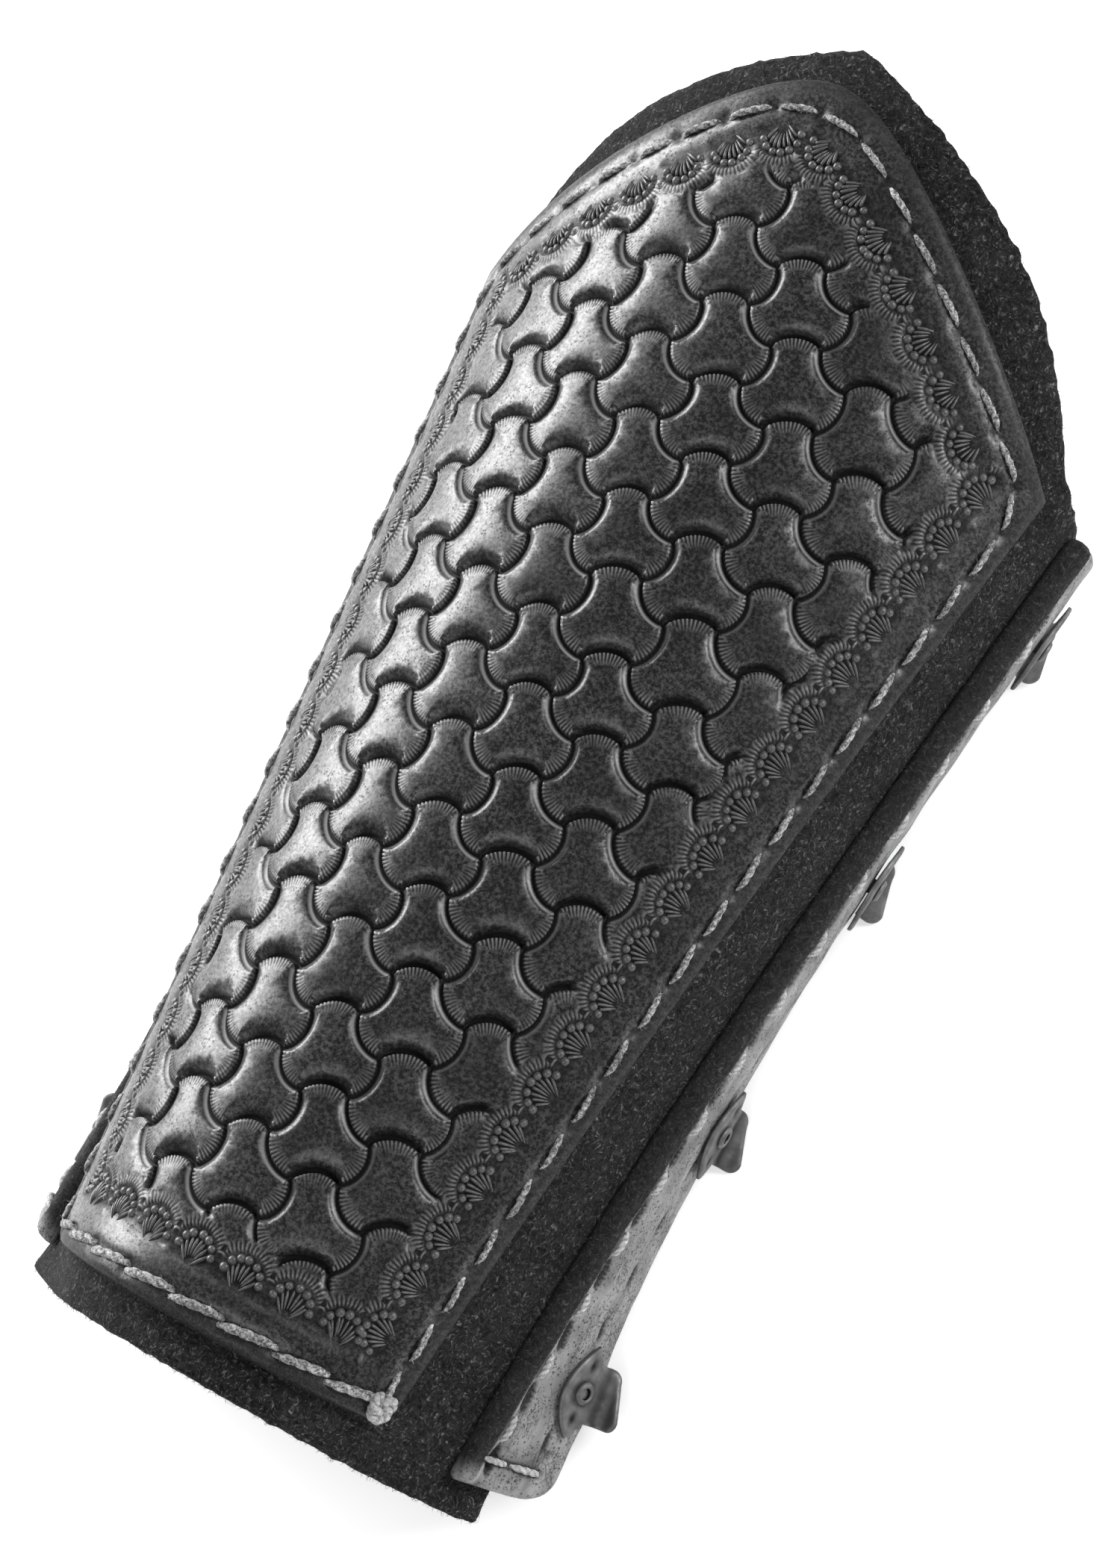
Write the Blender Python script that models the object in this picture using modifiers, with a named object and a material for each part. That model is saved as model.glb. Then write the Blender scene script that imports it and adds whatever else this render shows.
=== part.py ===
"""Leather bracer: a stamped forearm plate on a soft suede lining that laces up underneath.

Every leather piece starts as a flat pattern, as it does on a saddler's bench: "across" is the
distance from the mid line and "along" the distance from the wrist edge. bend_leather then wraps
the flat pattern round the forearm. The bracer lies on its open, laced side with the plate up,
its length along Y and its elbow end towards +Y.
"""
import cmath
import math

import bmesh
import bpy
from mathutils import Matrix, Vector, geometry

MM = 0.001

# Forearm: a tapered half round that passes at the hips into flanks with a curl of their own.
WRIST_RADIUS = 39.2 * MM
TAPER = 0.180
HIP_ANGLE = math.radians(54.9)
WRIST_CURL = -0.168
ELBOW_CURL = 4.148
CURL_LENGTH = 238.0 * MM
CURL_REACH = (-0.1, 1.2)

# Plate: straight at the wrist, bowed in at the waist, a pointed arch at the elbow.
PLATE_THICKNESS = 3.3 * MM
PLATE_WRIST_HALF = 45.2 * MM
PLATE_SHOULDER_HALF = 69.2 * MM
PLATE_SHOULDER_ALONG = 191.4 * MM
PLATE_ARCH_RISE = 47.3 * MM
PLATE_WAIST_BOW = 2.0 * MM
ARCH_NOSE = 11.9 * MM
BEVEL_WIDTH = 2.5 * MM
BEVEL_DROP = 0.9 * MM

# Stamped scales: three-lobed, in a slanted lattice, their edges shared with their neighbours.
SCALE_PITCH = 14.5 * MM
SCALE_ROW_PITCH = 15.5 * MM
SCALE_SLANT = math.radians(292.7)
SCALE_ROW_TURN = math.radians(58.9)
SCALE_BULGE = 1.7 * MM
SCALE_START_ACROSS = -4.2 * MM
SCALE_START_ALONG = 139.8 * MM
GROOVE_DEPTH = 1.0 * MM
GROOVE_SLOPE = 1.3 * MM
BORDER_WIDTH = 15.0 * MM

# Lining: the soft sheet under the plate, wider and longer than it.
SEAM_GAP = 0.3 * MM
LINING_THICKNESS = 2.5 * MM
LINING_WRIST_MARGIN = 6.9 * MM
LINING_WRIST_BOW = 3.0 * MM
LINING_PEAK_MARGIN = 9.5 * MM
TUCK_CLEARANCE = 1.1 * MM

# Half of the lining's elbow edge: shares of its half width and of its rise over the shoulder.
LINING_ELBOW_EDGE = (
    # across, rise
    (0.000, 1.000),
    (0.108, 0.936),
    (0.217, 0.864),
    (0.325, 0.778),
    (0.433, 0.684),
    (0.542, 0.567),
    (0.650, 0.412),
    (0.726, 0.275),
    (0.790, 0.146),
    (0.867, 0.077),
    (1.000, 0.000),
)

# Lacing strips: folded leather over the lining's two long edges.
STRIP_THICKNESS = 4.2 * MM
STRIP_GAP = 0.5 * MM
STRIP_WIDTH = 18.8 * MM
STRIP_WRIST_OFFSET = 16.1 * MM
STRIP_SHOULDER_OFFSET = 12.7 * MM
STRIP_WRIST_END = -4.0 * MM
STRIP_ELBOW_END = 190.0 * MM
STRIP_CORNER_RADIUS = 5.5 * MM
STRIP_BULGE = 1.2 * MM
STRIP_BULGE_REACH = 7.0 * MM

# Hooks: a leaf-shaped base and a tongue bent up at the edge of the strip.
HOOK_COUNT = 4
HOOK_SHEET = 1.0 * MM
HOOK_FIRST_ALONG = 17.5 * MM
HOOK_LAST_ALONG = 172.0 * MM
HOOK_SETBACK = 5.6 * MM
LEAF_LENGTH = 17.5 * MM
LEAF_WIDTH = 8.5 * MM
TONGUE_WIDTH = 11.0 * MM
TONGUE_BEND_START = 4.0 * MM
TONGUE_BEND_RADIUS = 2.7 * MM
TONGUE_BEND_ANGLE = math.radians(100.0)
TONGUE_TIP = 1.8 * MM
TONGUE_TIP_SLANT = 2.3 * MM
TONGUE_CORNER_RADIUS = 2.2 * MM

# Rivets: hollow eyelets through the leaf and the strip.
RIVET_BORE_RADIUS = 1.0 * MM
RIVET_BARREL_RADIUS = 1.4 * MM
RIVET_FLANGE_RADIUS = 2.1 * MM
RIVET_BACK_RADIUS = 2.9 * MM
RIVET_FLANGE_THICKNESS = 0.6 * MM
RIVET_CROWN_SHARE = 0.4
RIVET_SIDES = 10
LEAF_HOLE_CLEARANCE = 0.3 * MM
STRIP_HOLE_CLEARANCE = 1.0 * MM
RIVET_SEAT_GAP = 0.6 * MM

# Facets: the steps of the patterns' points.
STEP_ACROSS = 6.5 * MM
STEP_ALONG = 12.5 * MM
STRIP_COLUMNS = 5
STRIP_EDGE_STEPS = 3
LEAF_STEPS = 7
RIM_CLEAR_SHARE = 0.8
EDGE_CLEAR = 2.2 * MM
CORNER_STEPS = 4
HOLE_SIDES = 10
BEND_STEPS = 5
SMOOTH_ANGLE = math.radians(40.0)
MERGE = 0.00001
MIN_CURL = 1e-6
MERGE_FLAT = 1e-6
NEARBY = 0.0001
SLIVER_AREA = 1e-9

# The faces of the layers, counted outwards from the plate's face.
PLATE_BACK = -PLATE_THICKNESS
LINING_FACE = PLATE_BACK - SEAM_GAP
LINING_BACK = LINING_FACE - LINING_THICKNESS
STRIP_BACK = LINING_FACE + STRIP_GAP
STRIP_FACE = STRIP_BACK + STRIP_THICKNESS
LEAF_BACK = STRIP_FACE + SEAM_GAP

LEAF_HOLE_RADIUS = RIVET_BARREL_RADIUS + LEAF_HOLE_CLEARANCE
STRIP_HOLE_RADIUS = RIVET_BARREL_RADIUS + STRIP_HOLE_CLEARANCE
LINING_TUCK = STRIP_WIDTH - HOOK_SETBACK - RIVET_BACK_RADIUS - TUCK_CLEARANCE
PLATE_TIP_ALONG = PLATE_SHOULDER_ALONG + PLATE_ARCH_RISE
LINING_PEAK_ALONG = PLATE_TIP_ALONG + LINING_PEAK_MARGIN


def bend_leather(across, along, lift):
    """Return the place in space of a flat pattern point, raised by lift from the plate's face."""
    slope = 1.0 / math.sqrt(1.0 + TAPER * TAPER)
    apex = WRIST_RADIUS / TAPER
    reach = math.hypot(across, along + apex / slope)
    length = reach * slope - apex
    radius = TAPER * reach * slope
    girth = abs(math.atan2(across, along + apex / slope) * reach)
    hip = HIP_ANGLE * radius
    turn = min(girth, hip) / radius
    share = min(max(length / CURL_LENGTH, CURL_REACH[0]), CURL_REACH[1])
    curl = (WRIST_CURL + (ELBOW_CURL - WRIST_CURL) * share) / radius
    if abs(curl) < MIN_CURL:
        curl = MIN_CURL
    flank = turn + max(girth - hip, 0.0) * curl
    x = radius * math.sin(turn) + (math.sin(flank) - math.sin(turn)) / curl
    z = radius * math.cos(turn) - (math.cos(turn) - math.cos(flank)) / curl
    x += lift * math.sin(flank)
    z += lift * math.cos(flank)
    return Vector((math.copysign(x, across), length, z))


def plate_half_width(along):
    """Half width of the plate below its shoulder, bowed in at the waist."""
    share = along / PLATE_SHOULDER_ALONG
    straight = PLATE_WRIST_HALF + (PLATE_SHOULDER_HALF - PLATE_WRIST_HALF) * share
    return straight - PLATE_WAIST_BOW * math.sin(math.pi * share)


def arch_along(across):
    """Where the plate's arch lies above a distance from the mid line: one half of a hyperbola."""
    full = math.sqrt((PLATE_ARCH_RISE + ARCH_NOSE) ** 2 - ARCH_NOSE ** 2)
    share = full * across / PLATE_SHOULDER_HALF
    return PLATE_TIP_ALONG + ARCH_NOSE - math.hypot(share, ARCH_NOSE)


def strip_near(along):
    """Distance from the mid line of the strip's edge that faces the plate."""
    wrist = PLATE_WRIST_HALF + STRIP_WRIST_OFFSET
    shoulder = PLATE_SHOULDER_HALF + STRIP_SHOULDER_OFFSET
    return wrist + (shoulder - wrist) * along / PLATE_SHOULDER_ALONG


def hook_alongs():
    """Distances from the wrist edge of the hooks on one side."""
    step = (HOOK_LAST_ALONG - HOOK_FIRST_ALONG) / max(HOOK_COUNT - 1, 1)
    return [HOOK_FIRST_ALONG + step * index for index in range(HOOK_COUNT)]


def hook_across(along):
    """Distance of a hook's rivet from the mid line."""
    return strip_near(along) + STRIP_WIDTH - HOOK_SETBACK


def strip_far(along):
    """The strip's outer edge, which bulges a little at each hook."""
    bulge = sum(math.exp(-((along - hook) / STRIP_BULGE_REACH) ** 2) for hook in hook_alongs())
    return strip_near(along) + STRIP_WIDTH + STRIP_BULGE * bulge


def spread(start, end, step):
    """Evenly spaced numbers from start to end, no further apart than step, without the end."""
    count = max(1, math.ceil(abs(end - start) / step - 1e-6))
    return [start + (end - start) * index / count for index in range(count)]


def mirrored(half):
    """Close a half outline, which runs from the wrist's mid line to the elbow's, on both sides."""
    return half + [(-across, along) for across, along in reversed(half[1:-1])]


def plate_outline():
    """The plate's outline, anticlockwise from the middle of the wrist edge."""
    half = [(across, 0.0) for across in spread(0.0, PLATE_WRIST_HALF, STEP_ACROSS)]
    half += [(plate_half_width(along), along) for along in spread(0.0, PLATE_SHOULDER_ALONG, STEP_ALONG)]
    half += [(across, arch_along(across)) for across in spread(PLATE_SHOULDER_HALF, 0.0, STEP_ACROSS)]
    half.append((0.0, PLATE_TIP_ALONG))
    return mirrored(half)


def lining_side(along):
    """Half width of the lining, whose side edge is tucked under the strip."""
    return strip_near(along) + LINING_TUCK


def lining_outline():
    """The lining's outline, anticlockwise from the middle of the wrist edge."""
    bow = LINING_WRIST_BOW / strip_near(0.0) ** 2
    corner = lining_side(-LINING_WRIST_MARGIN - LINING_WRIST_BOW)
    half = [(a, -LINING_WRIST_MARGIN - bow * a * a) for a in spread(0.0, corner, STEP_ACROSS)]
    bottom = -LINING_WRIST_MARGIN - bow * corner * corner
    half += [(lining_side(along), along) for along in spread(bottom, STRIP_ELBOW_END, STEP_ALONG)]
    width = lining_side(STRIP_ELBOW_END)
    rise = LINING_PEAK_ALONG - STRIP_ELBOW_END
    edge = [(across * width, STRIP_ELBOW_END + share * rise) for across, share in LINING_ELBOW_EDGE]
    return mirrored(half + edge[::-1])


def strip_outline():
    """Outline of the right strip, with its two outer corners rounded."""
    radius = STRIP_CORNER_RADIUS
    bottom = STRIP_WRIST_END
    top = STRIP_ELBOW_END
    column = STRIP_WIDTH / STRIP_COLUMNS
    inner_end = strip_far(bottom) - radius
    outline = [(across, bottom) for across in spread(strip_near(bottom), inner_end, column)]
    for step in range(CORNER_STEPS + 1):
        turn = 0.5 * math.pi * step / CORNER_STEPS
        along = bottom + radius * (1.0 - math.cos(turn))
        outline.append((strip_far(along) - radius * (1.0 - math.sin(turn)), along))
    edge_step = STEP_ALONG / STRIP_EDGE_STEPS
    outline += [(strip_far(a), a) for a in spread(bottom + radius, top - radius, edge_step)[1:]]
    for step in range(CORNER_STEPS + 1):
        turn = 0.5 * math.pi * step / CORNER_STEPS
        along = top - radius * (1.0 - math.sin(turn))
        outline.append((strip_far(along) - radius * (1.0 - math.cos(turn)), along))
    outline += [(across, top) for across in spread(strip_far(top) - radius, strip_near(top), column)[1:]]
    outline += [(strip_near(a), a) for a in spread(top, bottom, STEP_ALONG)]
    return outline


def strip_grid(holes):
    """Points in columns that follow the strip's near edge, clear of its holes."""
    points = []
    for along in spread(STRIP_ELBOW_END, STRIP_WRIST_END, STEP_ALONG)[1:]:
        for column in range(1, STRIP_COLUMNS):
            point = (strip_near(along) + STRIP_WIDTH * column / STRIP_COLUMNS, along)
            if all(clear_of(point, hole, EDGE_CLEAR) and not inside(point, hole) for hole in holes):
                points.append(point)
    return points


def circle(across, along, radius, sides):
    """A hole's rim."""
    turns = [2.0 * math.pi * side / sides for side in range(sides)]
    return [(across + radius * math.cos(t), along + radius * math.sin(t)) for t in turns]


def inside(point, loop):
    """Whether a flat point lies inside a closed loop."""
    crossed = False
    for (x0, y0), (x1, y1) in zip(loop, loop[1:] + loop[:1]):
        if (y0 > point[1]) != (y1 > point[1]):
            if point[0] < x0 + (x1 - x0) * (point[1] - y0) / (y1 - y0):
                crossed = not crossed
    return crossed


def clear_of(point, loop, distance):
    """Whether a flat point is at least a distance away from a loop's line."""
    spot = Vector(point)
    for start, end in zip(loop, loop[1:] + loop[:1]):
        first = Vector(start)
        run = Vector(end) - first
        share = min(max((spot - first).dot(run) / run.length_squared, 0.0), 1.0)
        if (first + share * run - spot).length < distance:
            return False
    return True


def grid_points(outline):
    """Points of an even grid that lie well inside an outline."""
    columns = math.ceil(max(abs(across) for across, _ in outline) / STEP_ACROSS)
    low = min(along for _, along in outline)
    rows = math.ceil((max(along for _, along in outline) - low) / STEP_ALONG)
    points = []
    for row in range(rows):
        for column in range(-columns, columns + 1):
            point = (column * STEP_ACROSS, low + (row + 0.5) * STEP_ALONG)
            if inside(point, outline) and clear_of(point, outline, EDGE_CLEAR):
                points.append(point)
    return points


class Pattern:
    """A flat pattern: its points, each kept once with its lift, and the lines between them."""

    def __init__(self):
        self.points = []
        self.lifts = []
        self.lines = []
        self.index_of = {}

    def add_point(self, point, lift=0.0):
        """Add a point, or find the one that is already there, and return its index."""
        key = (round(point[0] / MERGE), round(point[1] / MERGE))
        if key not in self.index_of:
            self.index_of[key] = len(self.points)
            self.points.append(point)
            self.lifts.append(lift)
        return self.index_of[key]

    def add_line(self, points, lift=0.0, closed=True):
        """Add a run of points with lines between them, and return their indices."""
        indices = [self.add_point(point, lift) for point in points]
        self.lines += list(zip(indices, indices[1:]))
        if closed:
            self.lines.append((indices[-1], indices[0]))
        return indices

    def triangles(self, outline, holes=()):
        """Triangulate between the lines, inside the outline and outside the holes.

        Where a crease crosses the outline, the new point joins the pattern's points.
        """
        spots = [Vector(point) for point in self.points]
        cut = geometry.delaunay_2d_cdt(spots, self.lines, [], 0, MERGE_FLAT)
        own = []
        for index, sources in enumerate(cut[3]):
            if sources:
                own.append(min(sources))
            else:
                own.append(self.add_point((cut[0][index].x, cut[0][index].y)))
        faces = []
        for face in cut[2]:
            face = [own[index] for index in face]
            corners = [self.points[index] for index in face]
            middle = tuple(sum(corner[axis] for corner in corners) / 3.0 for axis in (0, 1))
            if geometry.area_tri(*(Vector((*corner, 0.0)) for corner in corners)) < SLIVER_AREA:
                continue
            if inside(middle, outline) and not any(inside(middle, hole) for hole in holes):
                faces.append(face)
        return faces


def new_object(name, mesh, material, collection):
    """Put a mesh in the scene as one named piece with its own material."""
    mesh.materials.append(material)
    mesh.shade_smooth()
    mesh.set_sharp_from_angle(angle=SMOOTH_ANGLE)
    piece = bpy.data.objects.new(name, mesh)
    collection.objects.link(piece)
    return piece


def new_mesh(name, points, faces):
    """Make a mesh from points and faces."""
    mesh = bpy.data.meshes.new(name)
    mesh.from_pydata(points, [], faces)
    return mesh


def add_solidify(piece, thickness, offset):
    """Give an open sheet its thickness, inwards for an offset of -1 and outwards for 1."""
    solidify = piece.modifiers.new("thickness", "SOLIDIFY")
    solidify.thickness = thickness
    solidify.offset = offset
    solidify.use_even_offset = True


def leather_sheet(name, outline, holes, spots, face, thickness, side, material, collection):
    """A leather piece of even thickness: its flat pattern, bent at the level of its face."""
    pattern = Pattern()
    for loop in [outline, *holes]:
        pattern.add_line(loop)
    for spot in spots:
        pattern.add_point(spot)
    triangles = pattern.triangles(outline, holes)
    points = [bend_leather(side * across, along, face) for across, along in pattern.points]
    if side < 0:
        triangles = [triangle[::-1] for triangle in triangles]
    piece = new_object(name, new_mesh(name, points, triangles), material, collection)
    add_solidify(piece, thickness, -1.0)
    return piece


def scale_lattice():
    """The lattice's two steps, as complex numbers: down a slanted column, and right along a row."""
    return cmath.rect(SCALE_PITCH, SCALE_SLANT), cmath.rect(SCALE_ROW_PITCH, SCALE_SLANT + SCALE_ROW_TURN)


def scale_loop(centre):
    """A scale's outline, anticlockwise: three lobes and three hollows by turns.

    Its corners lie midway between three neighbouring scales, and each side is an arc of two
    chords that bulges outwards on a lobe and inwards on a hollow.
    """
    column, row = scale_lattice()
    around = [row, row - column, -column, -row, column - row, column]
    loop = []
    for index, toward in enumerate(around):
        start = centre + (around[index - 1] + toward) / 3.0
        end = centre + (toward + around[(index + 1) % 6]) / 3.0
        outwards = (end - start) / abs(end - start) * -1j
        bulge = SCALE_BULGE if index % 2 == 0 else -SCALE_BULGE
        middle = (start + end) / 2.0 + outwards * bulge
        loop += [(start.real, start.imag), (middle.real, middle.imag)]
    return loop


def inset_loop(loop, distance):
    """Move each point of an anticlockwise loop inwards, square to its two neighbours."""
    moved = []
    for index, point in enumerate(loop):
        before = Vector(loop[index - 1])
        after = Vector(loop[(index + 1) % len(loop)])
        run = (after - before).normalized()
        moved.append((point[0] - run.y * distance, point[1] + run.x * distance))
    return moved


def scale_loops(outline):
    """The outlines of all scales that fit whole inside the border."""
    column, row = scale_lattice()
    start = complex(SCALE_START_ACROSS, SCALE_START_ALONG)
    reach = math.ceil(PLATE_TIP_ALONG / min(SCALE_PITCH, SCALE_ROW_PITCH))
    loops = []
    for i in range(-reach, reach + 1):
        for j in range(-reach, reach + 1):
            loop = scale_loop(start + row * i + column * j)
            if all(inside(p, outline) and clear_of(p, outline, BORDER_WIDTH) for p in loop):
                loops.append(loop)
    return loops


def stamped_plate(name, material, collection):
    """The plate: a stamped face and a smooth back on one outline, joined round the rim.

    Its two skins differ, so it is built from its faces and not with Solidify.
    """
    outline = plate_outline()
    bevel = inset_loop(outline, BEVEL_WIDTH)
    scales = scale_loops(outline)
    grid = grid_points(outline)
    face = Pattern()
    rim = face.add_line(outline, -BEVEL_DROP)
    face.add_line(bevel)
    for loop in scales:
        face.add_line(loop, -GROOVE_DEPTH)
    for loop in scales:
        face.add_line(inset_loop(loop, GROOVE_SLOPE))
        face.add_point(tuple(sum(point[axis] for point in loop) / len(loop) for axis in (0, 1)))
    for point in rim_points(scales) + margin_points(grid, bevel, scales):
        face.add_point(point)
    faces = face.triangles(outline)
    points = [bend_leather(*point, lift) for point, lift in zip(face.points, face.lifts)]
    back = Pattern()
    back_rim = back.add_line(outline)
    for point in grid:
        back.add_point(point)
    first = len(points)
    faces += [[first + index for index in reversed(triangle)] for triangle in back.triangles(outline)]
    points += [bend_leather(*point, PLATE_BACK) for point in back.points]
    for index in range(len(outline)):
        faces.append((first + back_rim[index - 1], first + back_rim[index], rim[index], rim[index - 1]))
    return new_object(name, new_mesh(name, points, faces), material, collection)


def rim_points(scales):
    """Points just outside the outermost scales, where the groove rises to the plain border."""
    points = []
    for loop in scales:
        others = [other for other in scales if other is not loop]
        for point in inset_loop(loop, -GROOVE_SLOPE):
            if not any(inside(point, other) for other in others):
                if all(clear_of(point, other, RIM_CLEAR_SHARE * GROOVE_SLOPE) for other in others):
                    points.append(point)
    return points


def margin_points(grid, bevel, scales):
    """The grid's points in the plain border, clear of the bevel and the scales."""
    points = [point for point in grid if inside(point, bevel) and clear_of(point, bevel, EDGE_CLEAR)]
    for loop in scales:
        points = [p for p in points if not inside(p, loop) and clear_of(p, loop, 2.0 * GROOVE_SLOPE)]
    return points


def hook_blank():
    """The hook's flat blank, with the gap side towards +across: a leaf and its tongue."""
    half_length = LEAF_LENGTH / 2.0
    half_width = LEAF_WIDTH / 2.0
    half_tongue = TONGUE_WIDTH / 2.0
    sheet_end = TONGUE_BEND_START + TONGUE_BEND_RADIUS * TONGUE_BEND_ANGLE + TONGUE_TIP
    step_along = LEAF_LENGTH / LEAF_STEPS

    def leaf_edge(along):
        return half_width * (1.0 - (along / half_length) ** 2)

    outline = [(-leaf_edge(a), a) for a in spread(half_length, -half_length, step_along)]
    outline += [(leaf_edge(a), a) for a in spread(-half_length, -half_tongue, step_along)]
    radius = TONGUE_CORNER_RADIUS
    outline.append((leaf_edge(half_tongue), -half_tongue))
    low = sheet_end - TONGUE_TIP_SLANT
    for step in range(CORNER_STEPS):
        turn = 0.5 * math.pi * step / (CORNER_STEPS - 1)
        outline.append((sheet_end - radius * (1.0 - math.sin(turn)),
                        radius * (1.0 - math.cos(turn)) - half_tongue))
    for step in range(CORNER_STEPS):
        turn = 0.5 * math.pi * step / (CORNER_STEPS - 1)
        outline.append((low - radius * (1.0 - math.cos(turn)),
                        half_tongue - radius * (1.0 - math.sin(turn))))
    outline.append((leaf_edge(half_tongue), half_tongue))
    outline += [(leaf_edge(a), a) for a in spread(half_tongue, half_length, step_along)[1:]]
    return outline


def bend_tongue(across, along):
    """Bend the blank's outer part up round the strip's edge."""
    past = across - TONGUE_BEND_START
    if past <= 0.0:
        return Vector((across, along, 0.0))
    turn = min(past / TONGUE_BEND_RADIUS, TONGUE_BEND_ANGLE)
    rest = max(past - TONGUE_BEND_RADIUS * TONGUE_BEND_ANGLE, 0.0)
    x = TONGUE_BEND_START + TONGUE_BEND_RADIUS * math.sin(turn) + rest * math.cos(turn)
    z = TONGUE_BEND_RADIUS * (1.0 - math.cos(turn)) + rest * math.sin(turn)
    return Vector((x, along, z))


def hook_mesh(along, side):
    """One hook's open sheet in its own frame: its leaf lies on the strip and follows its curve."""
    outline = hook_blank()
    hole = circle(0.0, 0.0, LEAF_HOLE_RADIUS, HOLE_SIDES)
    arc = TONGUE_BEND_RADIUS * TONGUE_BEND_ANGLE
    pattern = Pattern()
    pattern.add_line(outline)
    pattern.add_line(hole)
    for step in range(BEND_STEPS + 1):
        across = TONGUE_BEND_START + arc * step / BEND_STEPS
        pattern.add_line([(across, -TONGUE_WIDTH), (across, TONGUE_WIDTH)], closed=False)
    triangles = pattern.triangles(outline, [hole])
    own_frame = hook_place(along, side).inverted()
    points = []
    for flat in pattern.points:
        bent = bend_tongue(*flat)
        spot = bend_leather(side * (hook_across(along) + bent.x), along + side * bent.y, LEAF_BACK + bent.z)
        points.append(own_frame @ spot)
    mesh = new_mesh("hook", points, triangles)
    work = bmesh.new()
    work.from_mesh(mesh)
    crease_ends = [vert for vert in work.verts if not vert.link_faces]
    bmesh.ops.delete(work, geom=crease_ends, context="VERTS")
    work.to_mesh(mesh)
    work.free()
    return mesh


def rivet_profile():
    """Half section of an eyelet rivet round the hook's +Z, from the leaf's underside level."""
    top = HOOK_SHEET + SEAM_GAP
    top_face = top + RIVET_FLANGE_THICKNESS
    bottom = -SEAM_GAP - STRIP_THICKNESS - RIVET_SEAT_GAP
    bottom_face = bottom - RIVET_FLANGE_THICKNESS
    crown = RIVET_CROWN_SHARE * RIVET_FLANGE_THICKNESS
    return [
        (RIVET_BORE_RADIUS, top_face),
        (RIVET_FLANGE_RADIUS - crown, top_face),
        (RIVET_FLANGE_RADIUS, top_face - crown),
        (RIVET_FLANGE_RADIUS, top),
        (RIVET_BARREL_RADIUS, top),
        (RIVET_BARREL_RADIUS, bottom),
        (RIVET_BACK_RADIUS, bottom),
        (RIVET_BACK_RADIUS, bottom_face),
        (RIVET_BORE_RADIUS, bottom_face),
    ]


def rivet_mesh():
    """The closed section of a rivet; a Screw modifier turns it."""
    points = [(radius, 0.0, height) for radius, height in rivet_profile()]
    mesh = bpy.data.meshes.new("rivet")
    mesh.from_pydata(points, [(i, (i + 1) % len(points)) for i in range(len(points))], [])
    return mesh


def add_screw(piece):
    """Turn a piece's section all the way round its Z axis."""
    screw = piece.modifiers.new("turn", "SCREW")
    screw.steps = RIVET_SIDES
    screw.render_steps = RIVET_SIDES
    screw.use_merge_vertices = True
    screw.merge_threshold = MERGE
    screw.use_smooth_shade = True


def hook_place(along, side):
    """Where a hook sits: its underside at the leaf's level, +X to the gap, +Z out of the strip."""
    across = side * hook_across(along)
    spot = bend_leather(across, along, LEAF_BACK)
    outward = (bend_leather(across, along, LEAF_BACK + NEARBY) - spot).normalized()
    to_gap = bend_leather(across + side * NEARBY, along, LEAF_BACK) - spot
    to_gap = (to_gap - outward * to_gap.dot(outward)).normalized()
    turned = Matrix((to_gap, outward.cross(to_gap), outward)).transposed()
    return Matrix.Translation(spot) @ turned.to_4x4()


def new_material(name, colour, roughness, metallic):
    """A plain Principled material."""
    material = bpy.data.materials.new(name)
    material.use_nodes = True
    shader = material.node_tree.nodes["Principled BSDF"]
    shader.inputs["Base Color"].default_value = (*colour, 1.0)
    shader.inputs["Roughness"].default_value = roughness
    shader.inputs["Metallic"].default_value = metallic
    return material


def lay_down(collection):
    """Rest the bracer on its open side, with the middle of its footprint at the origin.

    Seen from the side, the line that touches the underside on both sides of the middle of the
    volume becomes level.
    """
    graph = bpy.context.evaluated_depsgraph_get()
    points = []
    volume = 0.0
    moment = 0.0
    for piece in collection.objects:
        shape = piece.evaluated_get(graph).data
        spots = [piece.matrix_world @ vert.co for vert in shape.vertices]
        shape.calc_loop_triangles()
        for triangle in shape.loop_triangles:
            a, b, c = (spots[index] for index in triangle.vertices)
            share = a.dot(b.cross(c)) / 6.0
            volume += share
            moment += share * (a.y + b.y + c.y) / 4.0
        points += spots
    middle = moment / volume
    hull = []
    for point in sorted(points, key=lambda p: (p.y, p.z)):
        while len(hull) > 1 and turns_right(hull[-2], hull[-1], point):
            hull.pop()
        hull.append(point)
    wrist, elbow = next(pair for pair in zip(hull, hull[1:]) if pair[1].y >= middle)
    pitch = math.atan2(elbow.z - wrist.z, elbow.y - wrist.y)
    level = Matrix.Rotation(-pitch, 4, "X")
    turned = [level @ point for point in points]
    low = Vector([min(point[axis] for point in turned) for axis in range(3)])
    high = Vector([max(point[axis] for point in turned) for axis in range(3)])
    base = Vector(((low.x + high.x) / 2.0, (low.y + high.y) / 2.0, low.z))
    stand = bpy.data.objects.new("bracer_rest", None)
    collection.objects.link(stand)
    for piece in [piece for piece in collection.objects if piece is not stand]:
        piece.parent = stand
    stand.location = -base
    stand.rotation_euler = (-pitch, 0.0, 0.0)


def turns_right(first, second, third):
    """Whether the path through three points, seen along X, leaves the underside."""
    rise = (second.y - first.y) * (third.z - first.z) - (second.z - first.z) * (third.y - first.y)
    return rise <= 0.0


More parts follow.
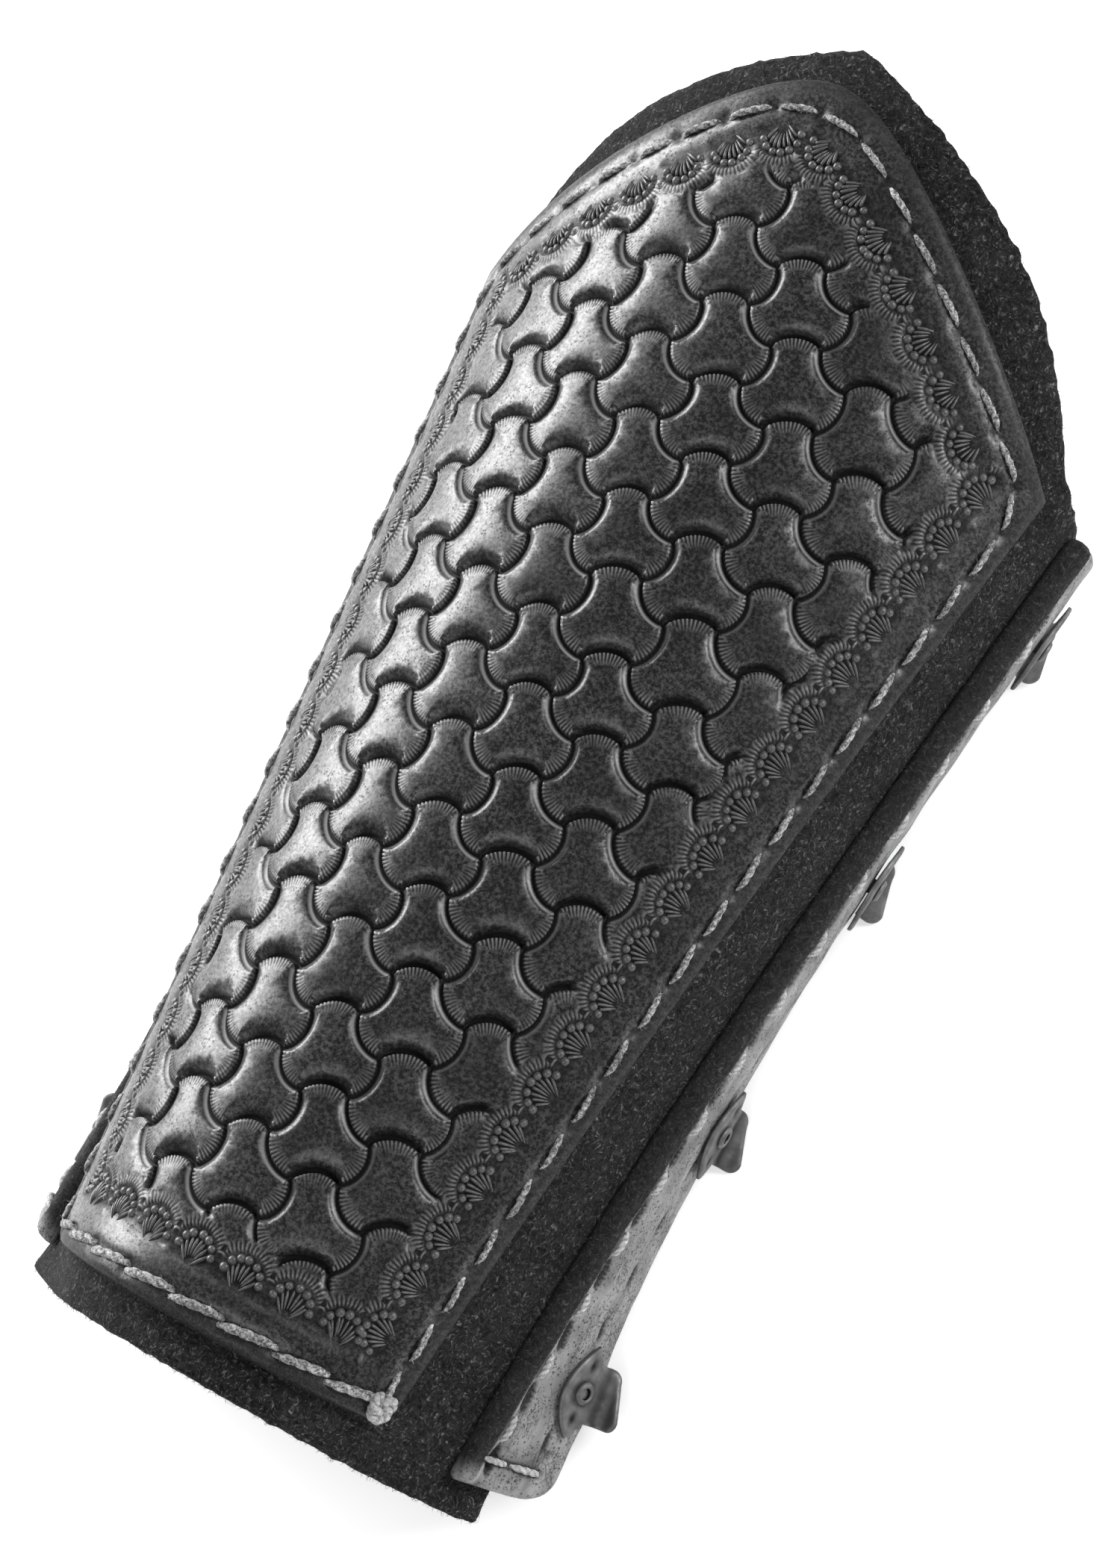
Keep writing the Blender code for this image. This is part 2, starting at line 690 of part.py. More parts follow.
def main():
    """Build the bracer."""
    for old in list(bpy.data.objects):
        bpy.data.objects.remove(old)
    collection = bpy.data.collections.new("leather_bracer")
    bpy.context.scene.collection.children.link(collection)
    plate_leather = new_material("tooled_leather", (0.075, 0.075, 0.075), 0.45, 0.0)
    suede = new_material("suede", (0.020, 0.020, 0.020), 0.95, 0.0)
    strip_leather = new_material("strip_leather", (0.190, 0.190, 0.190), 0.62, 0.0)
    dark_metal = new_material("dark_metal", (0.160, 0.160, 0.160), 0.42, 1.0)

    stamped_plate("plate", plate_leather, collection)
    lining = lining_outline()
    leather_sheet("lining", lining, [], grid_points(lining), LINING_FACE, LINING_THICKNESS, 1, suede,
                  collection)
    rivet = rivet_mesh()
    holes = [circle(hook_across(a), a, STRIP_HOLE_RADIUS, HOLE_SIDES) for a in hook_alongs()]
    for side, word in ((-1, "left"), (1, "right")):
        leather_sheet(f"strip_{word}", strip_outline(), holes, strip_grid(holes), STRIP_FACE,
                      STRIP_THICKNESS, side, strip_leather, collection)
        for number, along in enumerate(hook_alongs(), start=1):
            place = hook_place(along, side)
            piece = new_object(f"hook_{word}_{number}", hook_mesh(along, side), dark_metal, collection)
            add_solidify(piece, HOOK_SHEET, 1.0)
            piece.matrix_world = place
            pin = new_object(f"rivet_{word}_{number}", rivet, dark_metal, collection)
            add_screw(pin)
            pin.matrix_world = place
    bpy.context.view_layer.update()
    lay_down(collection)
    bpy.context.view_layer.update()


main()
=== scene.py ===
"""Looks of the leather bracer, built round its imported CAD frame.

Every leather piece is drawn flat, as on a saddler's bench: "across" is the distance from the mid
line and "along" the distance from the wrist edge, both in millimetres. Forearm.bend wraps the flat
pattern round the forearm and lays it down where the CAD part lies.
"""
from __future__ import annotations

import logging
import math
from dataclasses import dataclass, field
from enum import Enum
from typing import Callable

import bpy
import numpy as np
from mathutils import Matrix, Vector, geometry

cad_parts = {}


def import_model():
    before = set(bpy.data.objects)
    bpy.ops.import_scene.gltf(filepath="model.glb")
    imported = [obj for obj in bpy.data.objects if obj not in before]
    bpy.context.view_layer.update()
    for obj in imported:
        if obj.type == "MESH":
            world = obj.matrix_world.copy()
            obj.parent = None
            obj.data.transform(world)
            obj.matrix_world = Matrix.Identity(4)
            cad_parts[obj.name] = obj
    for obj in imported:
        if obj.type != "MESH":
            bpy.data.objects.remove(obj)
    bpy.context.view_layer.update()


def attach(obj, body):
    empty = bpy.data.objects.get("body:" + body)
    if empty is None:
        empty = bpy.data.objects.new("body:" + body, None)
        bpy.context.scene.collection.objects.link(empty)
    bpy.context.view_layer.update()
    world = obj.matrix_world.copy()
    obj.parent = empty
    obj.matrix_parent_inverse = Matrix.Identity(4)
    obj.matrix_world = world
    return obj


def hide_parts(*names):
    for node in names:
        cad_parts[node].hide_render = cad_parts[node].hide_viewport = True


LOG = logging.getLogger("bracer")
MM = 0.001
Array = np.ndarray
Node = bpy.types.Node
Socket = bpy.types.NodeSocket
Thing = bpy.types.Object

SIDES = (-1, 1)
SIDE_WORDS = {-1: "left", 1: "right"}


class Slot(Enum):
    """The record's material slots."""

    TOOLED = "tooled_leather"
    SUEDE = "suede"
    STRIP = "strip_leather"
    METAL = "dark_metal"


def smooth(value: Array, low: float, high: float) -> Array:
    """A soft step from 0 at low to 1 at high.

    Args:
        value: numbers to step.
        low: where the step starts.
        high: where the step ends.

    Returns:
        The stepped numbers.
    """
    share = np.clip((value - low) / (high - low), 0.0, 1.0)
    return share * share * (3.0 - 2.0 * share)


def hump(value: Array, width: float) -> Array:
    """A bell that is 1 at zero and falls off over a width."""
    return np.exp(-((value / width) ** 2))


def rounded(edge: Array, radius: float) -> Array:
    """How far a quarter-round edge has dropped, as a share, at a distance from the edge."""
    return 1.0 - np.sqrt(np.clip(1.0 - (1.0 - np.clip(edge / radius, 0.0, 1.0)) ** 2, 0.0, 1.0))


def circle(radius: float, height: float, sides: int) -> list[tuple[float, float, float]]:
    """Points of a level ring round Z."""
    turns = [math.tau * side / sides for side in range(sides)]
    return [(radius * math.cos(turn), radius * math.sin(turn), height) for turn in turns]


def band(low: int, high: int, sides: int) -> list[tuple[int, ...]]:
    """Quads between two rings of points, given the index of each ring's first point."""
    after = [(side + 1) % sides for side in range(sides)]
    return [(low + s, low + after[s], high + after[s], high + s) for s in range(sides)]


def ripple(points: Array, scale: float, seed: int, waves: int = 7) -> Array:
    """Smooth unevenness: a sum of plane waves with seeded directions.

    Args:
        points: flat points, one row each.
        scale: the typical wave's length.
        seed: seed of the random draws.
        waves: how many waves are summed.

    Returns:
        Numbers of about -1 to 1.
    """
    draw = np.random.default_rng(seed)
    total = np.zeros(len(points))
    for _ in range(waves):
        turn = draw.uniform(0.0, math.tau)
        length = scale * draw.uniform(0.6, 1.8)
        phase = draw.uniform(0.0, math.tau)
        run = points[:, 0] * math.cos(turn) + points[:, 1] * math.sin(turn)
        total += np.sin(run * math.tau / length + phase)
    return total / math.sqrt(waves * 2.0)


@dataclass(frozen=True)
class Forearm:
    """The tapered shape that the leather is wrapped round, in millimetres, as in the CAD."""

    wrist_radius: float = 39.2
    taper: float = 0.180
    hip: float = math.radians(54.9)
    wrist_curl: float = -0.168
    elbow_curl: float = 4.148
    curl_length: float = 238.0
    curl_low: float = -0.1
    curl_high: float = 1.2
    least_curl: float = 1e-9
    rest_pitch: float = -0.14049386978149414
    rest_along: float = -125.57174265384674
    rest_up: float = 18.96044984459877

    def rested(self, points: Array) -> Array:
        """Lay points of the upright pattern down where the CAD part lies, in metres."""
        turn_cos, turn_sin = math.cos(self.rest_pitch), math.sin(self.rest_pitch)
        along = turn_cos * points[:, 1] - turn_sin * points[:, 2] + self.rest_along
        up = turn_sin * points[:, 1] + turn_cos * points[:, 2] + self.rest_up
        return np.column_stack((points[:, 0], along, up)) * MM

    def bend(self, flat: Array, lift: Array | float) -> Array:
        """Wrap flat points round the forearm.

        Args:
            flat: across and along of each point.
            lift: height of each point over the plate's face.

        Returns:
            Places in space, in metres.
        """
        across, along = flat[:, 0], flat[:, 1]
        slope = 1.0 / math.sqrt(1.0 + self.taper**2)
        apex = self.wrist_radius / self.taper
        reach = np.hypot(across, along + apex / slope)
        length = reach * slope - apex
        radius = self.taper * reach * slope
        girth = np.abs(np.arctan2(across, along + apex / slope) * reach)
        hip = self.hip * radius
        turn = np.minimum(girth, hip) / radius
        share = np.clip(length / self.curl_length, self.curl_low, self.curl_high)
        curl = (self.wrist_curl + (self.elbow_curl - self.wrist_curl) * share) / radius
        curl = np.where(np.abs(curl) < self.least_curl, self.least_curl, curl)
        flank = turn + np.maximum(girth - hip, 0.0) * curl
        out = radius * np.sin(turn) + (np.sin(flank) - np.sin(turn)) / curl
        up = radius * np.cos(turn) - (np.cos(turn) - np.cos(flank)) / curl
        out, up = out + lift * np.sin(flank), up + lift * np.cos(flank)
        return self.rested(np.column_stack((np.copysign(out, across), length, up)))

    def frames(self, flat: Array, lift: Array | float, heading: Array) -> Array:
        """Turning matrices at flat points: X along a heading, Z out of the leather.

        Args:
            flat: the points.
            lift: their height.
            heading: a flat direction for each point.

        Returns:
            An array of 3 x 3 matrices whose columns are the X, Y and Z directions.
        """
        step = 0.05
        base = self.bend(flat, lift)
        ahead = self.bend(flat + heading * step, lift) - base
        up = self.bend(flat, lift + step) - base
        up /= np.linalg.norm(up, axis=1)[:, None]
        ahead -= up * np.sum(ahead * up, axis=1)[:, None]
        ahead /= np.linalg.norm(ahead, axis=1)[:, None]
        return np.stack((ahead, np.cross(up, ahead), up), axis=2)


FOREARM = Forearm()


def line_distance(points: Array, line: Array, closed: bool = True) -> tuple[Array, Array, Array]:
    """Distance from flat points to a flat line.

    Args:
        points: the points.
        line: the line's points in order.
        closed: whether the line returns to its start.

    Returns:
        The distance, the place along the line, and the direction of the line there.
    """
    ends = np.roll(line, -1, axis=0) if closed else line[1:]
    starts = line if closed else line[:-1]
    runs = ends - starts
    lengths = np.linalg.norm(runs, axis=1)
    before = np.concatenate(([0.0], np.cumsum(lengths)))
    best = np.full(len(points), 1e9)
    place = np.zeros(len(points))
    heading = np.zeros((len(points), 2))
    for start, run, length, offset in zip(starts, runs, lengths, before):
        if length < 1e-9:
            continue
        share = np.clip(((points - start) @ run) / length**2, 0.0, 1.0)
        gap = np.linalg.norm(points - start - share[:, None] * run, axis=1)
        nearer = gap < best
        best[nearer] = gap[nearer]
        place[nearer] = offset + share[nearer] * length
        heading[nearer] = run / length
    return best, place, heading


def inside_line(points: Array, line: Array) -> Array:
    """Whether flat points lie inside a closed line."""
    found = np.zeros(len(points), dtype=bool)
    for start, end in zip(line, np.roll(line, -1, axis=0)):
        if start[1] == end[1]:
            continue
        spans = (start[1] > points[:, 1]) != (end[1] > points[:, 1])
        limit = start[0] + (end[0] - start[0]) * (points[:, 1] - start[1]) / (end[1] - start[1])
        found ^= spans & (points[:, 0] < limit)
    return found


def resampled(line: Array, step: float, closed: bool = False) -> Array:
    """Spread points evenly along a line, a step apart as near as they go."""
    if closed:
        line = np.vstack((line, line[:1]))
    lengths = np.concatenate(([0.0], np.cumsum(np.linalg.norm(np.diff(line, axis=0), axis=1))))
    count = max(2, round(lengths[-1] / step) + 1)
    places = np.linspace(0.0, lengths[-1], count)
    spread = np.column_stack([np.interp(places, lengths, line[:, axis]) for axis in (0, 1)])
    return spread[:-1] if closed else spread


def offset_line(line: Array, distance: float, closed: bool = True) -> Array:
    """Move an anticlockwise line inwards by a distance."""
    before = np.roll(line, 1, axis=0)
    after = np.roll(line, -1, axis=0)
    if not closed:
        before[0], after[-1] = line[0], line[-1]
    run = after - before
    run /= np.linalg.norm(run, axis=1)[:, None]
    return line + np.column_stack((-run[:, 1], run[:, 0])) * distance


def triangulate(points: Array, loop: int) -> Array:
    """Fill the inside of a loop with triangles.

    Args:
        points: flat points, of which the first ones are the loop, anticlockwise.
        loop: how many points the loop has.

    Returns:
        Index triples, anticlockwise.
    """
    edges = [(index, (index + 1) % loop) for index in range(loop)]
    cut = geometry.delaunay_2d_cdt([Vector(point) for point in points], edges, [], 1, 1e-7)
    own = np.array([sources[0] if sources else -1 for sources in cut[3]])
    faces = own[np.array(cut[2], dtype=int)]
    faces = faces[(faces >= 0).all(axis=1)]
    corners = points[faces]
    first, second = corners[:, 1] - corners[:, 0], corners[:, 2] - corners[:, 0]
    area = first[:, 0] * second[:, 1] - first[:, 1] * second[:, 0]
    return faces[area > 1e-6]


def even_grid(loop: Array, step: float, clear: float) -> Array:
    """Points of a staggered grid inside a loop, clear of it."""
    low, high = loop.min(axis=0), loop.max(axis=0)
    rows = np.arange(low[1], high[1], step * 0.87)
    spots = [
        (across + (0.5 * step if row % 2 else 0.0), along)
        for row, along in enumerate(rows)
        for across in np.arange(low[0], high[0], step)
    ]
    points = np.array(spots)
    points = points[inside_line(points, loop)]
    return points[line_distance(points, loop)[0] > clear]


class Scene:
    """What every piece needs of Blender: making objects, baking modifiers, riding."""

    @staticmethod
    def mesh(name: str, points: Array, faces: Array, material: bpy.types.Material) -> Thing:
        """Make an object from points in metres and triangles or quads."""
        data = bpy.data.meshes.new(name)
        data.from_pydata(points.tolist(), [], [tuple(int(i) for i in face) for face in faces])
        data.materials.append(material)
        data.shade_smooth()
        thing = bpy.data.objects.new(name, data)
        bpy.context.scene.collection.objects.link(thing)
        return thing

    @staticmethod
    def write(thing: Thing, name: str, values: Array) -> None:
        """Write one number, or one row of three numbers, for each point of a mesh."""
        kind = "FLOAT" if values.ndim == 1 else "FLOAT_VECTOR"
        layer = thing.data.attributes.new(name, kind, "POINT")
        key = "value" if kind == "FLOAT" else "vector"
        layer.data.foreach_set(key, np.ascontiguousarray(values, dtype=np.float32).ravel())

    @staticmethod
    def write_turns(thing: Thing, frames: Array) -> None:
        """Write a quaternion called turn for each point, from 3 x 3 matrices."""
        layer = thing.data.attributes.new("turn", "QUATERNION", "POINT")
        turns = [tuple(Matrix(frame.tolist()).to_quaternion()) for frame in frames]
        layer.data.foreach_set("value", np.array(turns, dtype=np.float32).ravel())

    @staticmethod
    def paint(thing: Thing, name: str, value: float) -> None:
        """Write the same number for every point of a mesh."""
        Scene.write(thing, name, np.full(len(thing.data.vertices), value))

    @staticmethod
    def baked(thing: Thing) -> Thing:
        """Turn an object's evaluated result into its plain mesh and drop its modifiers."""
        graph = bpy.context.evaluated_depsgraph_get()
        data = bpy.data.meshes.new_from_object(thing.evaluated_get(graph))
        data.name = thing.name
        thing.modifiers.clear()
        thing.data = data
        return thing

    @staticmethod
    def remove(*things: Thing) -> None:
        """Delete helper objects."""
        for thing in things:
            bpy.data.objects.remove(thing)

    @staticmethod
    def keep(thing: Thing, nodes: list[str] | None = None, slot: Slot | None = None) -> None:
        """Let a finished piece ride on the body and stand for CAD nodes."""
        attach(thing, "root")
        if nodes:
            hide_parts(*nodes)
        thing.data.calc_loop_triangles()
        LOG.info("%s: %d triangles", thing.name, len(thing.data.loop_triangles))


class NodeBench:
    """Adds and links nodes in one tree."""

    def __init__(self, tree: bpy.types.NodeTree) -> None:
        """Take the tree to work in."""
        self.tree = tree

    def node(self, kind: str, **settings: object) -> Node:
        """Add a node with its settings."""
        made = self.tree.nodes.new(kind)
        for name, value in settings.items():
            setattr(made, name, value)
        return made

    def put(self, node: Node, **inputs: object) -> Node:
        """Set or link a node's inputs by their names, where _ stands for a space."""
        for name, value in inputs.items():
            wanted = name.replace("_", " ")
            socket = next(s for s in node.inputs if s.name == wanted and s.enabled)
            self.feed(socket, value)
        return node

    def feed(self, socket: Socket, value: object) -> None:
        """Link a socket to another, or give it a constant."""
        if isinstance(value, bpy.types.NodeSocket):
            self.tree.links.new(value, socket)
        else:
            socket.default_value = value

    def maths(
        self, operation: str, first: object, second: object = 0.0, third: object = 0.0
    ) -> Socket:
        """A Math node."""
        made = self.node("ShaderNodeMath", operation=operation)
        for socket, value in zip(made.inputs, (first, second, third)):
            self.feed(socket, value)
        return made.outputs[0]

    def span(
        self, value: object, low: float, high: float, start: float = 0.0, end: float = 1.0
    ) -> Socket:
        """A smooth Map Range from low..high to start..end."""
        made = self.node("ShaderNodeMapRange", interpolation_type="SMOOTHSTEP")
        self.put(made, Value=value, From_Min=low, From_Max=high, To_Min=start, To_Max=end)
        return made.outputs["Result"]

    def mix(self, share: object, first: object, second: object) -> Socket:
        """Mix two greys given as numbers or sockets."""
        made = self.node("ShaderNodeMix", data_type="FLOAT")
        self.feed(made.inputs[0], share)
        self.feed(made.inputs[2], first)
        self.feed(made.inputs[3], second)
        return made.outputs[0]

    def noise(self, where: Socket, scale: float, detail: float = 3.0, rough: float = 0.55) -> Socket:
        """A Noise texture's value."""
        made = self.node("ShaderNodeTexNoise")
        self.put(made, Vector=where, Scale=scale, Detail=detail, Roughness=rough)
        return made.outputs[0]

    def stretched(self, where: Socket, scale: tuple[float, float, float]) -> Socket:
        """Stretch coordinates before a texture reads them."""
        made = self.node("ShaderNodeMapping")
        self.put(made, Vector=where, Scale=scale)
        return made.outputs[0]

    def grey(self, value: Socket) -> Socket:
        """Turn a number into a grey colour."""
        made = self.node("ShaderNodeCombineColor")
        for socket in made.inputs[:3]:
            self.feed(socket, value)
        return made.outputs[0]

    def attribute(self, name: str) -> Node:
        """Read a mesh attribute."""
        return self.node("ShaderNodeAttribute", attribute_name=name)

    def mask(self, name: str) -> Socket:
        """Read one number from a mesh attribute."""
        return self.attribute(name).outputs["Fac"]

    def touch(self, mask: object, share: float, first: object, second: object) -> Socket:
        """Mix towards a second value where a mask says so, up to a share."""
        return self.mix(self.maths("MULTIPLY", mask, share), first, second)

    @staticmethod
    def result(node: Node) -> Socket:
        """A node's first output that is switched on."""
        return next(s for s in node.outputs if s.enabled)


class GroupBuilder:
    """Shared effects, each a node group that is built once."""

    def __init__(self) -> None:
        """Start with no groups."""
        self.made: dict[str, bpy.types.NodeTree] = {}

    def start(
        self, name: str, inputs: dict[str, float], outputs: list[str]
    ) -> tuple[NodeBench, Node, Node]:
        """Make a group tree with a Vector input, named numbers and named outputs."""
        tree = bpy.data.node_groups.new(name, "ShaderNodeTree")
        tree.interface.new_socket("Vector", in_out="INPUT", socket_type="NodeSocketVector")
        for label, value in inputs.items():
            socket = tree.interface.new_socket(label, in_out="INPUT", socket_type="NodeSocketFloat")
            socket.default_value = value
        for label in outputs:
            tree.interface.new_socket(label, in_out="OUTPUT", socket_type="NodeSocketFloat")
        self.made[name] = tree
        bench = NodeBench(tree)
        return bench, bench.node("NodeGroupInput"), bench.node("NodeGroupOutput")

    def grain(self) -> bpy.types.NodeTree:
        """Leather grain: pebbles between fine creases, and dark specks."""
        if "leather_grain" in self.made:
            return self.made["leather_grain"]
        scales = {"Pebble Scale": 2600.0, "Speck Scale": 1500.0}
        bench, given, out = self.start("leather_grain", scales, ["Height", "Specks", "Cloud"])
        where = given.outputs["Vector"]
        cells = bench.node("ShaderNodeTexVoronoi", feature="DISTANCE_TO_EDGE")
        bent = bench.node("ShaderNodeVectorMath", operation="MULTIPLY_ADD")
        warp = bench.node("ShaderNodeTexNoise")
        bench.put(warp, Vector=where, Scale=900.0, Detail=2.0)
        bench.feed(bent.inputs[0], warp.outputs[1])
        bench.feed(bent.inputs[1], (0.0006, 0.0006, 0.0006))
        bench.feed(bent.inputs[2], where)
        bench.put(cells, Vector=bent.outputs[0], Scale=given.outputs["Pebble Scale"])
        pebbles = bench.span(cells.outputs["Distance"], 0.0, 0.35)
        fine = bench.noise(where, 5200.0, 2.0)
        height = bench.maths("MULTIPLY_ADD", fine, 0.6, pebbles)
        spots = bench.node("ShaderNodeTexVoronoi")
        bench.put(spots, Vector=where, Scale=given.outputs["Speck Scale"])
        near = bench.span(spots.outputs["Distance"], 0.22, 0.42, 1.0, 0.0)
        some = bench.span(bench.noise(where, 330.0, 3.0), 0.40, 0.58)
        bench.feed(out.inputs["Height"], height)
        bench.feed(out.inputs["Specks"], bench.maths("MULTIPLY", near, some))
        bench.feed(out.inputs["Cloud"], bench.noise(where, 95.0, 4.0, 0.6))
        return self.made["leather_grain"]

    def nap(self) -> bpy.types.NodeTree:
        """Suede nap: short streaks that lie in brushed patches, and light hairs."""
        if "suede_nap" in self.made:
            return self.made["suede_nap"]
        bench, given, out = self.start("suede_nap", {}, ["Height", "Hairs", "Cloud"])
        where = given.outputs["Vector"]
        warp = bench.node("ShaderNodeTexNoise")
        bench.put(warp, Vector=where, Scale=420.0, Detail=2.0)
        bent = bench.node("ShaderNodeVectorMath", operation="MULTIPLY_ADD")
        bench.feed(bent.inputs[0], warp.outputs[1])
        bench.feed(bent.inputs[1], (0.004, 0.004, 0.004))
        bench.feed(bent.inputs[2], where)
        streak = bench.noise(bench.stretched(bent.outputs[0], (1.0, 0.32, 0.6)), 2300.0, 3.0, 0.65)
        cross = bench.noise(bench.stretched(bent.outputs[0], (0.3, 1.0, 0.7)), 2000.0, 3.0, 0.65)
        both = bench.maths("MULTIPLY_ADD", cross, 0.8, streak)
        bench.feed(out.inputs["Height"], both)
        bench.feed(out.inputs["Hairs"], bench.span(both, 0.98, 1.22))
        bench.feed(out.inputs["Cloud"], bench.noise(where, 130.0, 4.0, 0.6))
        return self.made["suede_nap"]


GROUPS = GroupBuilder()


class Finish:
    """A finish: one material whose shader is set here."""

    name = "finish"

    def __init__(self) -> None:
        """Make the material."""
        self.material = bpy.data.materials.new(self.name)
        self.material.use_nodes = True
        self.bench = NodeBench(self.material.node_tree)
        self.shader = self.material.node_tree.nodes["Principled BSDF"]
        self.build()

    def build(self) -> None:
        """Fill in the nodes; each finish has its own."""

    def effect(self, tree: bpy.types.NodeTree, where: Socket, **inputs: float) -> Node:
        """Place a shared effect."""
        made = self.bench.node("ShaderNodeGroup", node_tree=tree)
        return self.bench.put(made, Vector=where, **inputs)

    def place(self) -> Socket:
        """The piece's own place, in metres."""
        return self.bench.node("ShaderNodeTexCoord").outputs["Object"]

    def bump(
        self, height: Socket, depth: float, strength: float = 1.0, under: Socket | None = None
    ) -> Socket:
        """A Bump node's normal."""
        made = self.bench.node("ShaderNodeBump")
        self.bench.put(made, Height=height, Distance=depth, Strength=strength)
        if under:
            self.bench.put(made, Normal=under)
        return made.outputs[0]


class TooledFinish(Finish):
    """Dyed and waxed tooling leather: painted shade in the cuts; painted highlight and burnished wear on
    the rims and high places.
    """

    name = "tooled_leather_look"
    hide_tones = (0.008, 0.022)
    raw_tones = (0.006, 0.045)
    speck_tone = 0.004
    highlight_and_wear_tone = 0.42
    cut_shade_tone = 0.002

    def build(self) -> None:
        """Grain, specks, painted shade in the cuts, painted highlight and wear on the rims, and a fuzzy
        cut edge.
        """
        bench = self.bench
        grain = self.effect(GROUPS.grain(), self.place())
        cut = bench.mask("cut")
        rim = bench.mask("rim")
        raw = bench.mask("raw")
        tone = bench.span(grain.outputs["Cloud"], 0.25, 0.75, *self.hide_tones)
        mottle = bench.noise(self.place(), 1400.0, 4.0, 0.75)
        tone = bench.maths("MULTIPLY", tone, bench.span(mottle, 0.40, 0.66, 0.20, 3.4))
        tone = bench.touch(grain.outputs["Specks"], 0.8, tone, self.speck_tone)
        # Lighter on the rims: painted highlight on shoulders, ridges and crests, with some wear.
        tone = bench.touch(rim, 0.85, tone, self.highlight_and_wear_tone)
        # Near black in the cuts: painted shade in grooves, pits, holes and under the lobes.
        tone = bench.touch(cut, 0.95, tone, self.cut_shade_tone)
        fuzz = bench.noise(bench.stretched(self.place(), (1.0, 1.0, 0.35)), 3200.0, 3.0, 0.7)
        tone = bench.mix(raw, tone, bench.span(fuzz, 0.35, 0.75, *self.raw_tones))
        rough = bench.span(grain.outputs["Cloud"], 0.3, 0.7, 0.40, 0.29)
        rough = bench.touch(grain.outputs["Specks"], 0.7, rough, 0.65)
        rough = bench.mix(cut, rough, 0.85)
        rough = bench.mix(raw, rough, 0.95)
        normal = self.bump(grain.outputs["Height"], 0.000016, 0.8)
        normal = self.bump(bench.maths("MULTIPLY", mottle, 0.6), 0.00005, 0.6, normal)
        normal = self.bump(bench.maths("MULTIPLY", fuzz, raw), 0.0004, 0.5, normal)
        wax = bench.span(mottle, 0.35, 0.62, 0.55, 1.0)
        dry = bench.maths("MULTIPLY", cut, 0.97)
        wax = bench.maths("MULTIPLY", wax, bench.maths("SUBTRACT", 1.0, dry))
        wax = bench.touch(grain.outputs["Specks"], 0.7, wax, 0.1)
        wax = bench.mix(raw, wax, 0.0)
        bench.put(self.shader, Base_Color=bench.grey(tone), Roughness=rough, Normal=normal)
        bench.put(self.shader, Specular_IOR_Level=0.15, Coat_Weight=wax, Coat_Roughness=0.33)


class SuedeFinish(Finish):
    """Black suede with a brushed nap."""

    name = "suede_look"
    nap_tones = (0.002, 0.040)
    hair_tone = 0.22

    def build(self) -> None:
        """Streaks, pale hairs and a soft sheen."""
        bench = self.bench
        nap = self.effect(GROUPS.nap(), self.place())
        tone = bench.span(nap.outputs["Height"], 0.55, 1.25, *self.nap_tones)
        tone = bench.touch(nap.outputs["Hairs"], 0.8, tone, self.hair_tone)
        tone = bench.maths("MULTIPLY", tone, bench.span(nap.outputs["Cloud"], 0.2, 0.8, 0.75, 1.3))
        normal = self.bump(nap.outputs["Height"], 0.0005, 0.9)
        bench.put(self.shader, Base_Color=bench.grey(tone), Roughness=0.95, Normal=normal)
        bench.put(self.shader, Specular_IOR_Level=0.06, Sheen_Weight=0.05, Sheen_Roughness=0.5)


